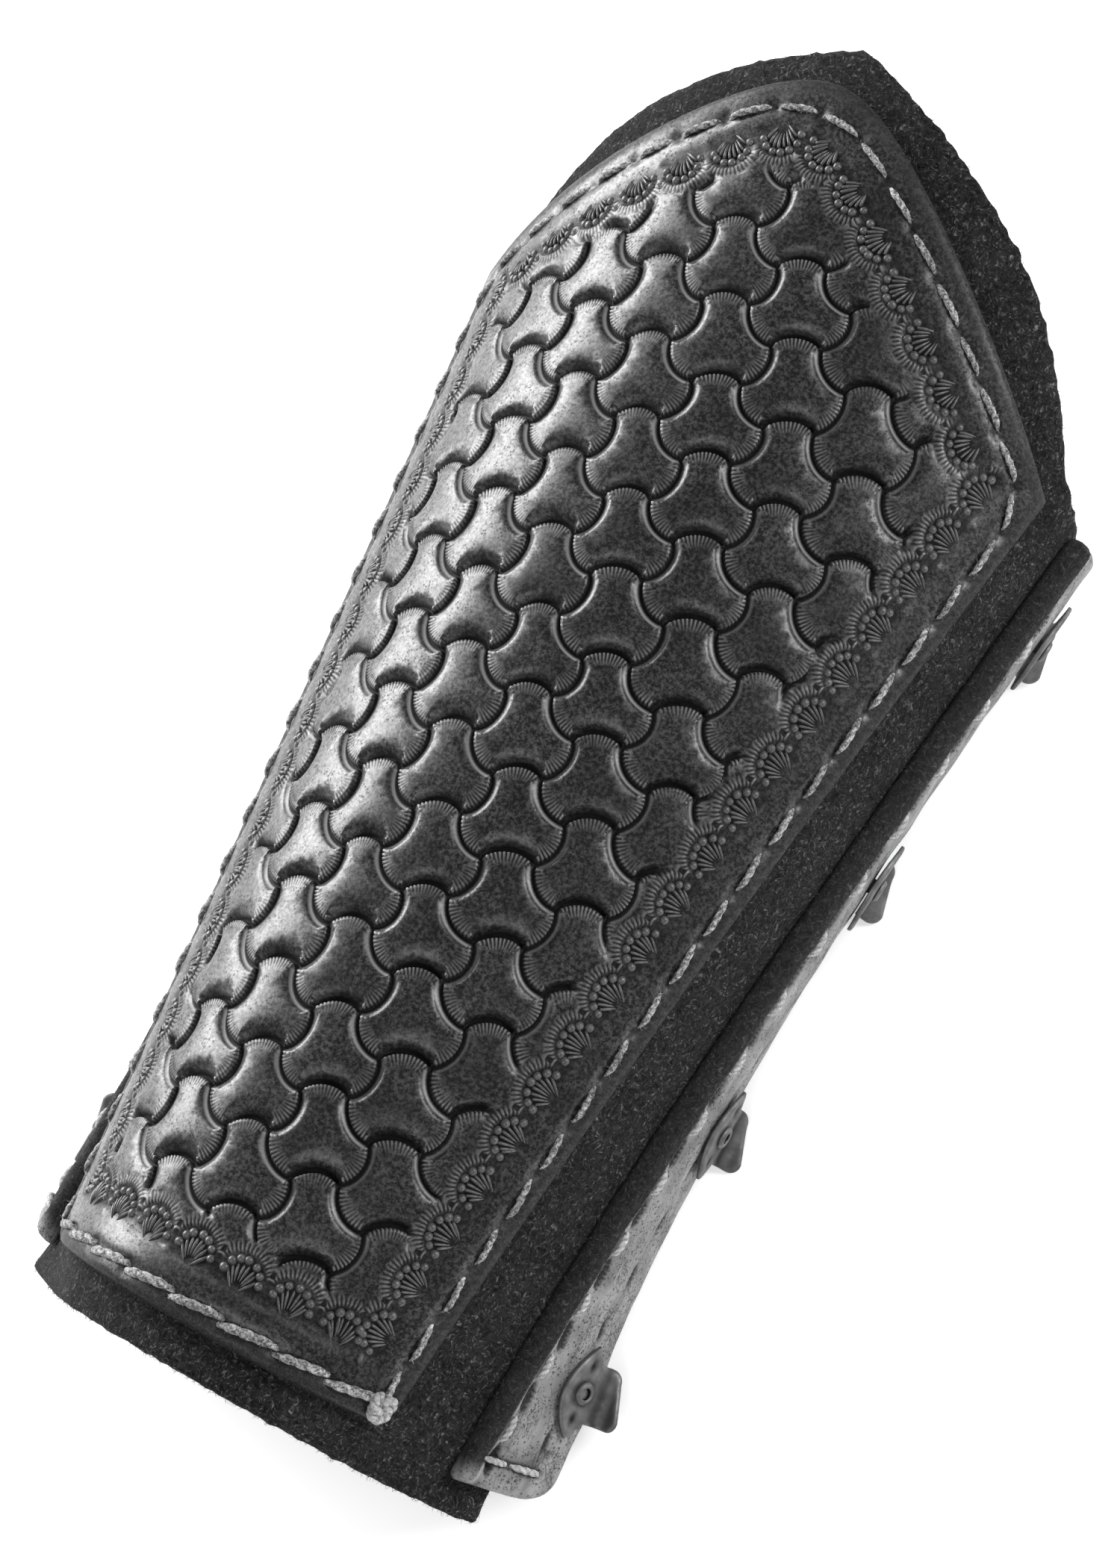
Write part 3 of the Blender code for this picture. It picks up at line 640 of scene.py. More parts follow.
class StripFinish(Finish):
    """Folded strip leather: a fuzzy dark fold, and a smooth paler face with pores and cracks."""

    name = "strip_leather_look"
    face_tones = (0.18, 0.36)
    fold_tones = (0.004, 0.034)
    pore_tone = 0.03
    crack_tone = 0.04
    highlight_and_wear_tone = 0.42
    hair_tone = 0.14
    cut_shade_tone = 0.008

    def build(self) -> None:
        """Pores, short dark creases, cracks and the dark fold."""
        bench = self.bench
        flat = bench.attribute("flat").outputs["Vector"]
        fold = bench.mask("fold")
        cut = bench.mask("cut")
        where = self.place()
        grain = self.effect(GROUPS.grain(), where, Speck_Scale=2100.0)
        cloud = bench.noise(bench.stretched(flat, (1.0, 0.35, 1.0)), 0.30, 4.0, 0.6)
        tone = bench.span(cloud, 0.25, 0.75, *self.face_tones)
        tone = bench.touch(grain.outputs["Specks"], 0.8, tone, self.pore_tone)
        crack = bench.noise(bench.stretched(flat, (1.0, 0.16, 1.0)), 1.15, 5.0, 0.7)
        away = bench.maths("ABSOLUTE", bench.maths("SUBTRACT", crack, 0.5))
        line = bench.span(away, 0.0, 0.02, 1.0, 0.0)
        some = bench.span(bench.noise(flat, 0.16, 2.0), 0.48, 0.62)
        line = bench.maths("MULTIPLY", line, some)
        tone = bench.touch(line, 0.7, tone, self.crack_tone)
        pore = bench.node("ShaderNodeTexVoronoi")
        bench.put(pore, Vector=flat, Scale=0.95)
        pores = bench.span(pore.outputs["Distance"], 0.12, 0.30, 0.85, 0.0)
        tone = bench.mix(pores, tone, self.pore_tone)
        cell = bench.node("ShaderNodeTexVoronoi", feature="DISTANCE_TO_EDGE")
        bench.put(cell, Vector=bench.stretched(flat, (1.0, 0.7, 1.0)), Scale=0.55)
        crackle = bench.span(cell.outputs["Distance"], 0.0, 0.09, 0.6, 0.0)
        patch = bench.span(bench.noise(flat, 0.11, 3.0), 0.46, 0.60)
        tone = bench.mix(bench.maths("MULTIPLY", crackle, patch), tone, self.crack_tone)
        # A lighter band just past the fold's ridge: painted highlight and wear.
        tone = bench.mix(bench.mask("rim"), tone, self.highlight_and_wear_tone)
        nap = self.effect(GROUPS.nap(), where)
        dark = bench.span(nap.outputs["Height"], 0.6, 1.2, *self.fold_tones)
        dark = bench.touch(nap.outputs["Hairs"], 0.5, dark, self.hair_tone)
        tone = bench.mix(fold, tone, dark)
        # Painted shade, near black, in the stitch slits and seam dips.
        tone = bench.touch(cut, 0.95, tone, self.cut_shade_tone)
        rough = bench.mix(fold, bench.span(cloud, 0.3, 0.7, 0.62, 0.5), 0.92)
        face = bench.maths("MULTIPLY", grain.outputs["Height"], 0.3)
        height = bench.mix(fold, face, nap.outputs["Height"])
        height = bench.maths("SUBTRACT", height, bench.maths("MULTIPLY", line, 0.5))
        normal = self.bump(height, 0.00025, 0.8)
        bench.put(self.shader, Base_Color=bench.grey(tone), Roughness=rough, Normal=normal)
        bench.put(self.shader, Specular_IOR_Level=0.4)


class ThreadFinish(Finish):
    """Waxed linen thread, pale, with painted shade in the grooves of its twist."""

    name = "linen_thread_look"
    fibre_tones = (0.07, 0.62)
    waxed_tone = 0.85
    twist_shade_tone = 0.01

    def build(self) -> None:
        """Fibre streaks and dull patches."""
        bench = self.bench
        where = self.place()
        streak = bench.noise(where, 1900.0, 4.0, 0.75)
        cloud = bench.noise(where, 210.0, 3.0, 0.6)
        tone = bench.span(streak, 0.36, 0.64, *self.fibre_tones)
        tone = bench.maths("MULTIPLY", tone, bench.span(cloud, 0.25, 0.75, 0.62, 1.25))
        tone = bench.mix(bench.mask("pale"), tone, self.waxed_tone)
        # Dark in the grooves between the plies: painted shade.
        tone = bench.mix(bench.mask("ply"), tone, self.twist_shade_tone)
        normal = self.bump(streak, 0.0003, 0.8)
        bench.put(self.shader, Base_Color=bench.grey(tone), Roughness=0.8, Normal=normal)
        bench.put(self.shader, Specular_IOR_Level=0.3)


class FibreFinish(Finish):
    """Loose fibres."""

    name = "fibre_look"
    low = 0.05
    high = 0.16

    def build(self) -> None:
        """A grey that differs from hair to hair."""
        bench = self.bench
        cloud = bench.noise(self.place(), 900.0, 2.0)
        tone = bench.span(cloud, 0.3, 0.7, self.low, self.high)
        bench.put(self.shader, Base_Color=bench.grey(tone), Roughness=0.85)
        bench.put(self.shader, Specular_IOR_Level=0.2)


class ThreadFibreFinish(FibreFinish):
    """Fibres that stand off the thread."""

    name = "thread_fibre_look"
    low = 0.25
    high = 0.55


class MetalFinish(Finish):
    """Dull gunmetal with fine scratches, and painted shade in its hollows."""

    name = "gunmetal_look"
    sheet_tones = (0.13, 0.24)
    hollow_shade_tone = 0.008

    def build(self) -> None:
        """Scratches, stains and painted shade in the hollows."""
        bench = self.bench
        where = self.place()
        cloud = bench.noise(where, 320.0, 4.0, 0.6)
        scratch = bench.noise(bench.stretched(where, (1.0, 0.12, 1.0)), 5200.0, 2.0)
        tone = bench.span(cloud, 0.25, 0.75, *self.sheet_tones)
        # Painted shade in the hollows: inside the bend, in the dimples, round and inside the rivet, and
        # under the sheet.
        tone = bench.mix(bench.mask("hollow"), tone, self.hollow_shade_tone)
        rough = bench.span(cloud, 0.3, 0.7, 0.60, 0.46)
        rough = bench.maths("MULTIPLY_ADD", scratch, 0.12, rough)
        normal = self.bump(scratch, 0.00004, 0.5)
        bench.put(self.shader, Base_Color=bench.grey(tone), Roughness=rough, Normal=normal, Metallic=1.0)


class FloorFinish(Finish):
    """Pale studio floor."""

    name = "floor_look"

    def build(self) -> None:
        """An even matt white."""
        self.bench.put(self.shader, Base_Color=(0.93, 0.93, 0.93, 1.0), Roughness=0.9)
        self.bench.put(self.shader, Emission_Color=(1.0, 1.0, 1.0, 1.0), Emission_Strength=0.45)
        self.bench.put(self.shader, Specular_IOR_Level=0.1)


class Finishes:
    """One of each finish."""

    def __init__(self) -> None:
        """Make them all."""
        self.tooled = TooledFinish().material
        self.suede = SuedeFinish().material
        self.strip = StripFinish().material
        self.thread = ThreadFinish().material
        self.fibre = FibreFinish().material
        self.thread_fibre = ThreadFibreFinish().material
        self.metal = MetalFinish().material
        self.floor = FloorFinish().material


class Spreader:
    """A Geometry Nodes tree that lays copies of one small piece on points."""

    def __init__(self, name: str, inputs: tuple[tuple[str, str], ...]) -> None:
        """Start the tree: geometry in and out, the piece, its finish and further inputs."""
        self.tree = bpy.data.node_groups.new(name, "GeometryNodeTree")
        face = self.tree.interface
        shared = (("Geometry", "Geometry"), ("Piece", "Object"), ("Finish", "Material"))
        for label, kind in (*shared, *inputs):
            face.new_socket(label, in_out="INPUT", socket_type=f"NodeSocket{kind}")
        face.new_socket("Geometry", in_out="OUTPUT", socket_type="NodeSocketGeometry")
        self.bench = NodeBench(self.tree)
        self.given = self.bench.node("NodeGroupInput").outputs
        self.out = self.bench.node("NodeGroupOutput").inputs
        self.build()

    def build(self) -> None:
        """Fill in the nodes; each tree has its own."""

    def named(self, name: str, kind: str) -> Socket:
        """Read a named attribute of the points."""
        made = self.bench.node("GeometryNodeInputNamedAttribute", data_type=kind)
        return self.bench.result(self.bench.put(made, Name=name))

    def drawn(self, low: Socket, high: Socket, kind: str = "FLOAT") -> Socket:
        """A seeded random value between two others."""
        made = self.bench.node("FunctionNodeRandomValue", data_type=kind)
        return self.bench.result(self.bench.put(made, Min=low, Max=high, Seed=self.given["Seed"]))

    def lay(self, points: Socket, turn: Socket, scale: Socket) -> None:
        """Lay the piece on points as real mesh in its finish, and end the tree."""
        bench = self.bench
        info = bench.put(bench.node("GeometryNodeObjectInfo"), Object=self.given["Piece"])
        place = bench.put(bench.node("GeometryNodeInstanceOnPoints"), Points=points,
                          Instance=info.outputs["Geometry"], Rotation=turn, Scale=scale)
        solid = bench.put(bench.node("GeometryNodeRealizeInstances"), Geometry=place.outputs[0])
        dressed = bench.put(bench.node("GeometryNodeSetMaterial"), Geometry=solid.outputs[0],
                            Material=self.given["Finish"])
        bench.feed(self.out["Geometry"], dressed.outputs[0])

    def work(self, thing: Thing, values: dict[str, object]) -> Thing:
        """Run the tree on an object and keep what it makes as the object's plain mesh."""
        modifier = thing.modifiers.new(self.tree.name, "NODES")
        modifier.node_group = self.tree
        for item in self.tree.interface.items_tree:
            if item.in_out == "INPUT" and item.name in values:
                modifier[item.identifier] = values[item.name]
        Scene.baked(thing)
        thing.data.shade_smooth()
        Scene.remove(values["Piece"])
        return thing


class SetOut(Spreader):
    """Sets one small piece at every point of a row of places."""

    def __init__(self) -> None:
        """Build the tree."""
        super().__init__("set_out", (("Size Spread", "Float"), ("Seed", "Int")))

    def build(self) -> None:
        """Each place has its own turn and its own size."""
        bench = self.bench
        low = bench.maths("SUBTRACT", 1.0, self.given["Size Spread"])
        high = bench.maths("ADD", 1.0, self.given["Size Spread"])
        grown = bench.node("ShaderNodeVectorMath", operation="SCALE")
        bench.feed(grown.inputs[0], self.named("size", "FLOAT_VECTOR"))
        bench.put(grown, Scale=self.drawn(low, high))
        self.lay(self.given["Geometry"], self.named("turn", "QUATERNION"), grown.outputs[0])

    def run(self, name: str, places: Array, frames: Array, sizes: Array, piece: Thing,
            spread: float = 0.0, seed: int = 1) -> Thing:
        """Set a piece out at places.

        Args:
            name: the new object's name.
            places: points in metres.
            frames: a 3 x 3 turning matrix for each place.
            sizes: a row of three scales for each place, in millimetres.
            piece: the helper object to set out, which is deleted afterwards.
            spread: random share by which sizes differ.
            seed: seed of that draw.

        Returns:
            The plain mesh object.
        """
        finish = piece.data.materials[0]
        row = Scene.mesh(name, places, np.zeros((0, 3)), finish)
        Scene.write_turns(row, frames)
        Scene.write(row, "size", sizes * MM)
        return self.work(row, {"Piece": piece, "Finish": finish, "Size Spread": spread, "Seed": seed})


class Nap(Spreader):
    """Stands short fibres on a surface."""

    def __init__(self) -> None:
        """Build the tree."""
        numbers = ("Density", "Shortest", "Longest", "Lean")
        super().__init__("nap", (*((label, "Float") for label in numbers), ("Seed", "Int")))

    def build(self) -> None:
        """Fibres stand where the nap attribute says so, each with its own lean and length."""
        bench, given = self.bench, self.given
        dots = bench.node("GeometryNodeDistributePointsOnFaces", distribute_method="RANDOM")
        density = bench.maths("MULTIPLY", self.named("nap", "FLOAT"), given["Density"])
        bench.put(dots, Mesh=given["Geometry"], Density=density, Seed=given["Seed"])
        ends = []
        for sign in SIDES:
            most = bench.maths("MULTIPLY", given["Lean"], float(sign))
            end = bench.put(bench.node("ShaderNodeCombineXYZ"), X=most, Y=most, Z=sign * math.pi)
            ends.append(end.outputs[0])
        tilt = bench.node("FunctionNodeRotateRotation", rotation_space="LOCAL")
        bench.feed(tilt.inputs[0], dots.outputs["Rotation"])
        bench.feed(tilt.inputs[1], self.drawn(*ends, kind="FLOAT_VECTOR"))
        length = self.drawn(given["Shortest"], given["Longest"])
        self.lay(dots.outputs["Points"], tilt.outputs[0], length)

    def run(self, name: str, ground: Thing, fibre: Thing, density: float,
            lengths: tuple[float, float], lean: float, seed: int) -> Thing:
        """Grow fibres on the parts of a mesh whose nap attribute says so.

        Args:
            name: the new object's name.
            ground: the mesh that carries them.
            fibre: a fibre one unit long, which is deleted afterwards.
            density: fibres per square metre at full nap.
            lengths: shortest and longest, in metres.
            lean: largest lean in radians.
            seed: seed of all draws.

        Returns:
            The plain mesh object.
        """
        grown = bpy.data.objects.new(name, ground.data.copy())
        bpy.context.scene.collection.objects.link(grown)
        return self.work(grown, {
            "Piece": fibre, "Finish": fibre.data.materials[0], "Density": density,
            "Shortest": lengths[0], "Longest": lengths[1], "Lean": lean, "Seed": seed,
        })


class Workshop:
    """The finishes and node trees that all pieces share."""

    def __init__(self) -> None:
        """Make them."""
        self.finishes = Finishes()
        self.set_out = SetOut()
        self.nap = Nap()

    def fibre(self, finish: bpy.types.Material, thickness: float, sides: int = 3, rings: int = 3,
              hook: float = 0.35, tip: float = 0.93) -> Thing:
        """A curved, tapered fibre one unit long that stands on +Z.

        Args:
            finish: its material.
            thickness: its radius at the root as a share of its length.
            sides: sides of its section.
            rings: how many rings it has.
            hook: how far its tip leans over.
            tip: how high its tip stands.

        Returns:
            The helper object.
        """
        points, faces = [], []
        for ring in range(rings):
            share = ring / rings
            lean, radius = hook * share**2, thickness * (1.0 - 0.6 * share)
            points += [(x + lean, y, z) for x, y, z in circle(radius, share, sides)]
        points.append((hook, 0.0, tip))
        for ring in range(rings - 1):
            faces += band(ring * sides, (ring + 1) * sides, sides)
        top = (rings - 1) * sides
        faces += [(top + side, top + (side + 1) % sides, len(points) - 1) for side in range(sides)]
        faces.append(tuple(reversed(range(sides))))
        return Scene.mesh("fibre", np.array(points), faces, finish)

    def fuzz(self, name: str, ground: Thing, thickness: float, density: float,
             lengths: tuple[float, float], lean: float, seed: int, thread: bool = False) -> None:
        """Grow loose fibres on a piece, as Nap.run does, and keep them.

        Args:
            name: the name of the fibres.
            ground: the piece that carries them.
            thickness: their radius as a share of their length.
            density: fibres per square metre at full nap.
            lengths: shortest and longest, in metres.
            lean: largest lean in radians.
            seed: seed of all draws.
            thread: whether they stand off thread, and not off leather.
        """
        finish = self.finishes.thread_fibre if thread else self.finishes.fibre
        fibre = self.fibre(finish, thickness)
        Scene.keep(self.nap.run(name, ground, fibre, density, lengths, lean, seed))

    def stitch(self, rings: int = 24, around: int = 12, twists: float = 2.1) -> Thing:
        """One stitch: a two-ply thread one unit long on X, whose ends dive into their holes.

        Args:
            rings: sections along it.
            around: points round each section.
            twists: turns of the ply along its length.

        Returns:
            The helper object.
        """
        points, faces, ply_shades = [], [], []
        for ring in range(rings + 1):
            share = ring / rings
            run = 2.0 * share - 1.0
            taper = math.sqrt(max(1.0 - abs(run) ** 3, 0.0)) * 0.88 + 0.12
            height = 0.30 - 1.1 * abs(run) ** 4
            for across, up, _ in circle(0.5 * taper, 0.0, around):
                turn = math.atan2(up, across)
                ply = abs(math.cos(turn - math.tau * twists * share))
                swell = 0.55 + 0.45 * ply**0.5
                points.append((0.5 * run, swell * across, swell * up + height))
                # Painted shade: dark where the plies meet.
                ply_shades.append(max(0.0, 1.0 - ply * 2.2) * 0.9)
        for ring in range(rings):
            faces += band((ring + 1) * around, ring * around, around)
        faces.append(tuple(range(around)))
        faces.append(tuple(reversed(range(rings * around, (rings + 1) * around))))
        thing = Scene.mesh("stitch", np.array(points), faces, self.finishes.thread)
        Scene.write(thing, "ply", np.array(ply_shades))
        return thing


@dataclass
class LeatherBody:
    """A closed piece: a relief face, a plain back and a rounded, slightly frayed rim."""

    loop: Array
    inner: Array
    lift: Array
    back: float
    fray: float = 0.05
    back_step: float = 7.0
    side: int = 1
    place: Callable[[Array, Array], Array] = FOREARM.bend
    levels: tuple[tuple[float, float], ...] = ((0.10, 0.28), (0.14, 0.55), (0.06, 0.82))

    def build(self, name: str, finish: bpy.types.Material) -> Thing:
        """Make the closed mesh.

        Args:
            name: the piece's name.
            finish: its material.

        Returns:
            The object, whose first points are the face's.
        """
        face = np.vstack((self.loop, self.inner))
        size = len(self.loop)
        grid = even_grid(self.loop, self.back_step, 0.35 * self.back_step)
        back = np.vstack((self.loop, grid))
        fray = self.fray * (ripple(self.loop, 2.4, 11) + 0.6 * ripple(self.loop, 0.9, 12))
        spots, lifts = [face], [self.lift]
        for out, share in self.levels:
            spots.append(offset_line(self.loop, -out) + fray[:, None])
            lifts.append(self.lift[:size] * (1.0 - share) + self.back * share)
        spots.append(back)
        lifts.append(np.full(len(back), self.back))
        starts = [0] + [len(face) + size * level for level in range(len(self.levels) + 1)]
        faces = [tuple(corners) for corners in triangulate(face, size)]
        for here, below in zip(starts, starts[1:]):
            faces += band(below, here, size)
        faces += [tuple(corners[::-1] + starts[-1]) for corners in triangulate(back, size)]
        self.extra = len(back) + size * len(self.levels)
        if self.side < 0:
            faces = [corners[::-1] for corners in faces]
        flat = np.vstack(spots)
        thing = Scene.mesh(name, self.place(flat, np.concatenate(lifts)), faces, finish)
        Scene.write(thing, "flat", np.column_stack((flat, np.concatenate(lifts))))
        return thing

    def write(self, thing: Thing, name: str, face: Array, back: float = 0.0) -> None:
        """Write an attribute: the face's numbers, its rim's carried round, and one for the back."""
        size, count = len(self.loop), len(self.levels)
        rest = self.extra - size * count
        values = np.concatenate((face, np.tile(face[:size], count), np.full(rest, back)))
        Scene.write(thing, name, values)


@dataclass(frozen=True)
class PlateShape:
    """The plate's flat outline, as in the CAD, with its wrist corners rounded."""

    wrist_half: float = 45.2
    shoulder_half: float = 69.2
    shoulder_along: float = 191.4
    rise: float = 47.3
    bow: float = 2.0
    nose: float = 11.9
    corner: float = 4.0
    thickness: float = 3.3

    def half_width(self, along: Array) -> Array:
        """Half width below the shoulder."""
        share = along / self.shoulder_along
        straight = self.wrist_half + (self.shoulder_half - self.wrist_half) * share
        return straight - self.bow * np.sin(math.pi * share)

    def arch(self, across: Array) -> Array:
        """Where the arch lies above a distance from the mid line."""
        full = math.sqrt((self.rise + self.nose) ** 2 - self.nose**2)
        tip = self.shoulder_along + self.rise + self.nose
        return tip - np.hypot(full * across / self.shoulder_half, self.nose)

    def outline(self, step: float) -> Array:
        """The closed outline, anticlockwise from the middle of the wrist edge."""
        turns = np.linspace(0.0, 0.5 * math.pi, 7)
        inner = self.half_width(np.array([self.corner]))[0] - self.corner
        corner = np.column_stack((np.sin(turns), 1.0 - np.cos(turns))) * self.corner + (inner, 0.0)
        alongs = np.linspace(self.corner, self.shoulder_along, 120)[1:]
        side = np.column_stack((self.half_width(alongs), alongs))
        acrosses = np.linspace(self.shoulder_half, 0.0, 160)[1:]
        arch = np.column_stack((acrosses, self.arch(acrosses)))
        half = np.vstack(([(0.0, 0.0)], corner, side, arch))
        whole = np.vstack((half, half[-2:0:-1] * (-1.0, 1.0)))
        return resampled(whole, step, closed=True)


@dataclass(frozen=True)
class ScaleStamp:
    """The lattice of three-lobed scales that is pressed into the plate."""

    pitch: float = 14.5
    row_pitch: float = 15.5
    slant: float = math.radians(292.7)
    row_turn: float = math.radians(58.9)
    bulge: float = 1.7
    start: complex = complex(-4.2, 139.8)
    stray: float = 0.40
    hatch_step: float = 0.38
    hatch_lines: int = 11
    hatch_depth: float = 0.36
    groove_depth: float = 1.35
    lobe_wall: float = 0.42
    wall_widths: tuple[float, ...] = (1.0, 1.5, 1.0, 1.35, 1.0, 2.2)
    # Painted highlight on the shoulders of the sides that face the light from the upper right.
    wall_shine: tuple[float, ...] = (0.0, 1.0, 0.0, 0.35, 0.0, 0.0)
    ridge_height: float = 0.30
    ridge_spot: float = 0.42
    crescent_half: float = 4.7
    crescent_depth: float = 0.45
    crown_drop: float = 0.22
    crown_reach: float = 4.5

    def steps(self) -> tuple[complex, complex]:
        """The lattice's two steps: down a slanted column, and right along a row."""
        column = self.pitch * complex(math.cos(self.slant), math.sin(self.slant))
        turn = self.slant + self.row_turn
        return column, self.row_pitch * complex(math.cos(turn), math.sin(turn))

    def sides(self) -> list[tuple[complex, complex, complex, float]]:
        """Start, end, arc centre and arc radius of the six sides round a centre at 0."""
        column, row = self.steps()
        around = [row, row - column, -column, -row, column - row, column]
        found = []
        for index, toward in enumerate(around):
            start = (around[index - 1] + toward) / 3.0
            end = (toward + around[(index + 1) % 6]) / 3.0
            chord = abs(end - start)
            radius = (0.25 * chord**2 + self.bulge**2) / (2.0 * self.bulge)
            out = (end - start) / chord * -1j
            away = self.bulge - radius if index % 2 == 0 else radius - self.bulge
            found.append((start, end, (start + end) / 2.0 + out * away, radius))
        return found

    def warp(self, points: Array) -> Array:
        """How far hand striking has shifted the lattice at flat points."""
        return self.stray * np.column_stack((ripple(points, 26.0, 61), ripple(points, 26.0, 62)))

    def measure(self, points: Array) -> tuple[Array, Array, Array]:
        """Where points lie in their scales.

        Args:
            points: flat points.

        Returns:
            The distance to the scale's edge, the nearest side's index, and the run along it.
        """
        column, row = self.steps()
        points = points + self.warp(points)
        spot = points[:, 0] + 1j * points[:, 1] - self.start
        grid = np.array([[row.real, column.real], [row.imag, column.imag]])
        share = np.linalg.solve(grid, np.vstack((spot.real, spot.imag)))
        base = np.floor(share)
        best = np.full(len(points), -1e9)
        side_of = np.zeros(len(points), dtype=int)
        run_of = np.zeros(len(points))
        for i in (-1, 0, 1, 2):
            for j in (-1, 0, 1, 2):
                own = spot - (base[0] + i) * row - (base[1] + j) * column
                gaps, runs = [], []
                for index, (start, end, centre, radius) in enumerate(self.sides()):
                    chord = (end - start) / abs(end - start)
                    depth = ((own - start) * np.conj(chord)).imag
                    arm = own - centre
                    middle = (start + end) / 2.0 - centre
                    if index % 2 == 0:
                        inside = depth < radius - self.bulge
                        gap = np.where(inside, radius - np.abs(arm), depth + self.bulge)
                    else:
                        gap = np.abs(arm) - radius
                    gaps.append(gap)
                    runs.append(np.angle(arm / middle) * radius)
                gaps = np.array(gaps)
                nearest = gaps.argmin(axis=0)
                rows = np.arange(len(points))
                gap = gaps[nearest, rows]
                better = gap > best
                best[better] = gap[better]
                side_of[better] = nearest[better]
                run_of[better] = np.array(runs)[nearest, rows][better]
        return np.maximum(best, 0.0), side_of, run_of

    def press(self, points: Array) -> dict[str, Array]:
        """The height, and the masks of painted shade in the cuts and of painted highlight on the rims,
        of the pressed scales at flat points.
        """
        depth, side, run = self.measure(points)
        lobe = side % 2 == 0
        wide = np.choose(side, self.wall_widths)
        gentle = 0.25 * smooth(depth, 0.1, 0.4) + 0.75 * smooth(depth, 0.3, wide + 0.3)
        slope = np.where(lobe, smooth(depth, 0.0, self.lobe_wall), gentle)
        ridge = np.where((side == 1) | (side == 3), hump(depth - self.ridge_spot, 0.2), 0.0)
        bow = np.sqrt(np.clip(1.0 - (run / self.crescent_half) ** 2, 0.02, 1.0))
        # The crescent under each lobe is pressed lower and also painted dark through cut: painted
        # shadow.
        crescent = np.where(side == 5, smooth(depth, 1.55 * bow, 0.75 * bow), 0.0)
        crest = 0.5 + 0.5 * np.cos(run * math.pi / self.hatch_step)
        reach = self.hatch_step * (self.hatch_lines + 1)
        hatch = smooth(depth, 0.02, 0.36) * smooth(depth, 2.9, 0.5)
        hatch = hatch * smooth(np.abs(run), reach, 0.88 * reach)
        hatch = np.where(lobe, hatch, 0.0) * (0.72 + 0.4 * ripple(points, 7.0, 63))
        hatch = np.clip(hatch, 0.0, 1.0)
        lift = self.ridge_height * ridge - self.groove_depth * (1.0 - slope)
        lift = lift - self.crescent_depth * crescent - self.hatch_depth * hatch * (1.0 - crest)
        lift = lift - self.crown_drop * smooth(depth, self.crown_reach, 0.0)
        # cut paints shade near every scale's edges and in the hatch valleys: painted shade.
        cut = np.where(lobe, smooth(depth, 0.40, 0.10), smooth(depth, 0.75 * wide, 0.15))
        cut = np.maximum(cut, 0.95 * hatch**0.7 * (1.0 - crest))
        # Painted highlights: on the hatch crests, and on the lit shoulders of the hollow sides
        # (wall_shine).
        rim = np.where(lobe, 0.50 * hatch * crest, 0.0)
        rim = np.maximum(rim, np.choose(side, self.wall_shine) * hump(depth - 0.75, 0.26))
        return {"lift": lift, "cut": np.maximum(cut, crescent), "rim": rim}

    def template(self) -> Array:
        """Flat points that show one scale's relief, round a centre at 0."""
        spots: list[complex] = []
        for index, (start, end, centre, radius) in enumerate(self.sides()):
            lobe = index % 2 == 0
            middle = (start + end) / 2.0 - centre
            half = math.asin(min(1.0, abs(end - start) / 2.0 / radius))
            rows = (0.0, 0.2, 0.42, 1.0, 1.8, 2.7) if lobe else (0.35, 0.75, 1.25, 1.9)
            for row in rows:
                reach = radius - row if lobe else radius + row
                turns = np.arange(-self.hatch_lines, self.hatch_lines + 1) * self.hatch_step / radius
                if row > 2.5:
                    turns = turns[::2]
                if not lobe:
                    turns = np.linspace(-half * 0.86, half * 0.86, 14)
                out = middle / abs(middle)
                spots += list(centre + out * reach * np.exp(1j * turns))
        for ring, count in ((0.0, 1), (1.8, 6), (3.4, 9)):
            spots += [complex(across, along) for across, along, _ in circle(ring, 0.0, count)]
        return np.array(spots)

    def points(self, low: Array, high: Array) -> Array:
        """The template's points of every scale that reaches into a box."""
        column, row = self.steps()
        middle = (low + high) / 2.0
        reach = int(np.linalg.norm(high - low) / min(self.pitch, self.row_pitch)) + 2
        template = self.template()
        found = []
        for i in range(-reach, reach + 1):
            for j in range(-reach, reach + 1):
                centre = self.start + i * row + j * column
                if abs(centre.real - middle[0]) < high[0] and low[1] - 12 < centre.imag < high[1] + 12:
                    found.append(centre + template)
        spots = np.concatenate(found)
        spots = np.column_stack((spots.real, spots.imag))
        spots = spots - self.warp(spots)
        keys = np.round(spots / 0.06).astype(int)
        _, first = np.unique(keys, axis=0, return_index=True)
        return spots[np.sort(first)]


@dataclass
class Row:
    """A row of places on the flat leather, each with its heading."""

    spots: Array
    headings: Array

    def between(self) -> tuple[Array, Array, Array]:
        """Middles, headings and lengths of the spans between neighbours."""
        run = np.diff(self.spots, axis=0)
        length = np.linalg.norm(run, axis=1)
        return (self.spots[1:] + self.spots[:-1]) / 2.0, run / length[:, None], length


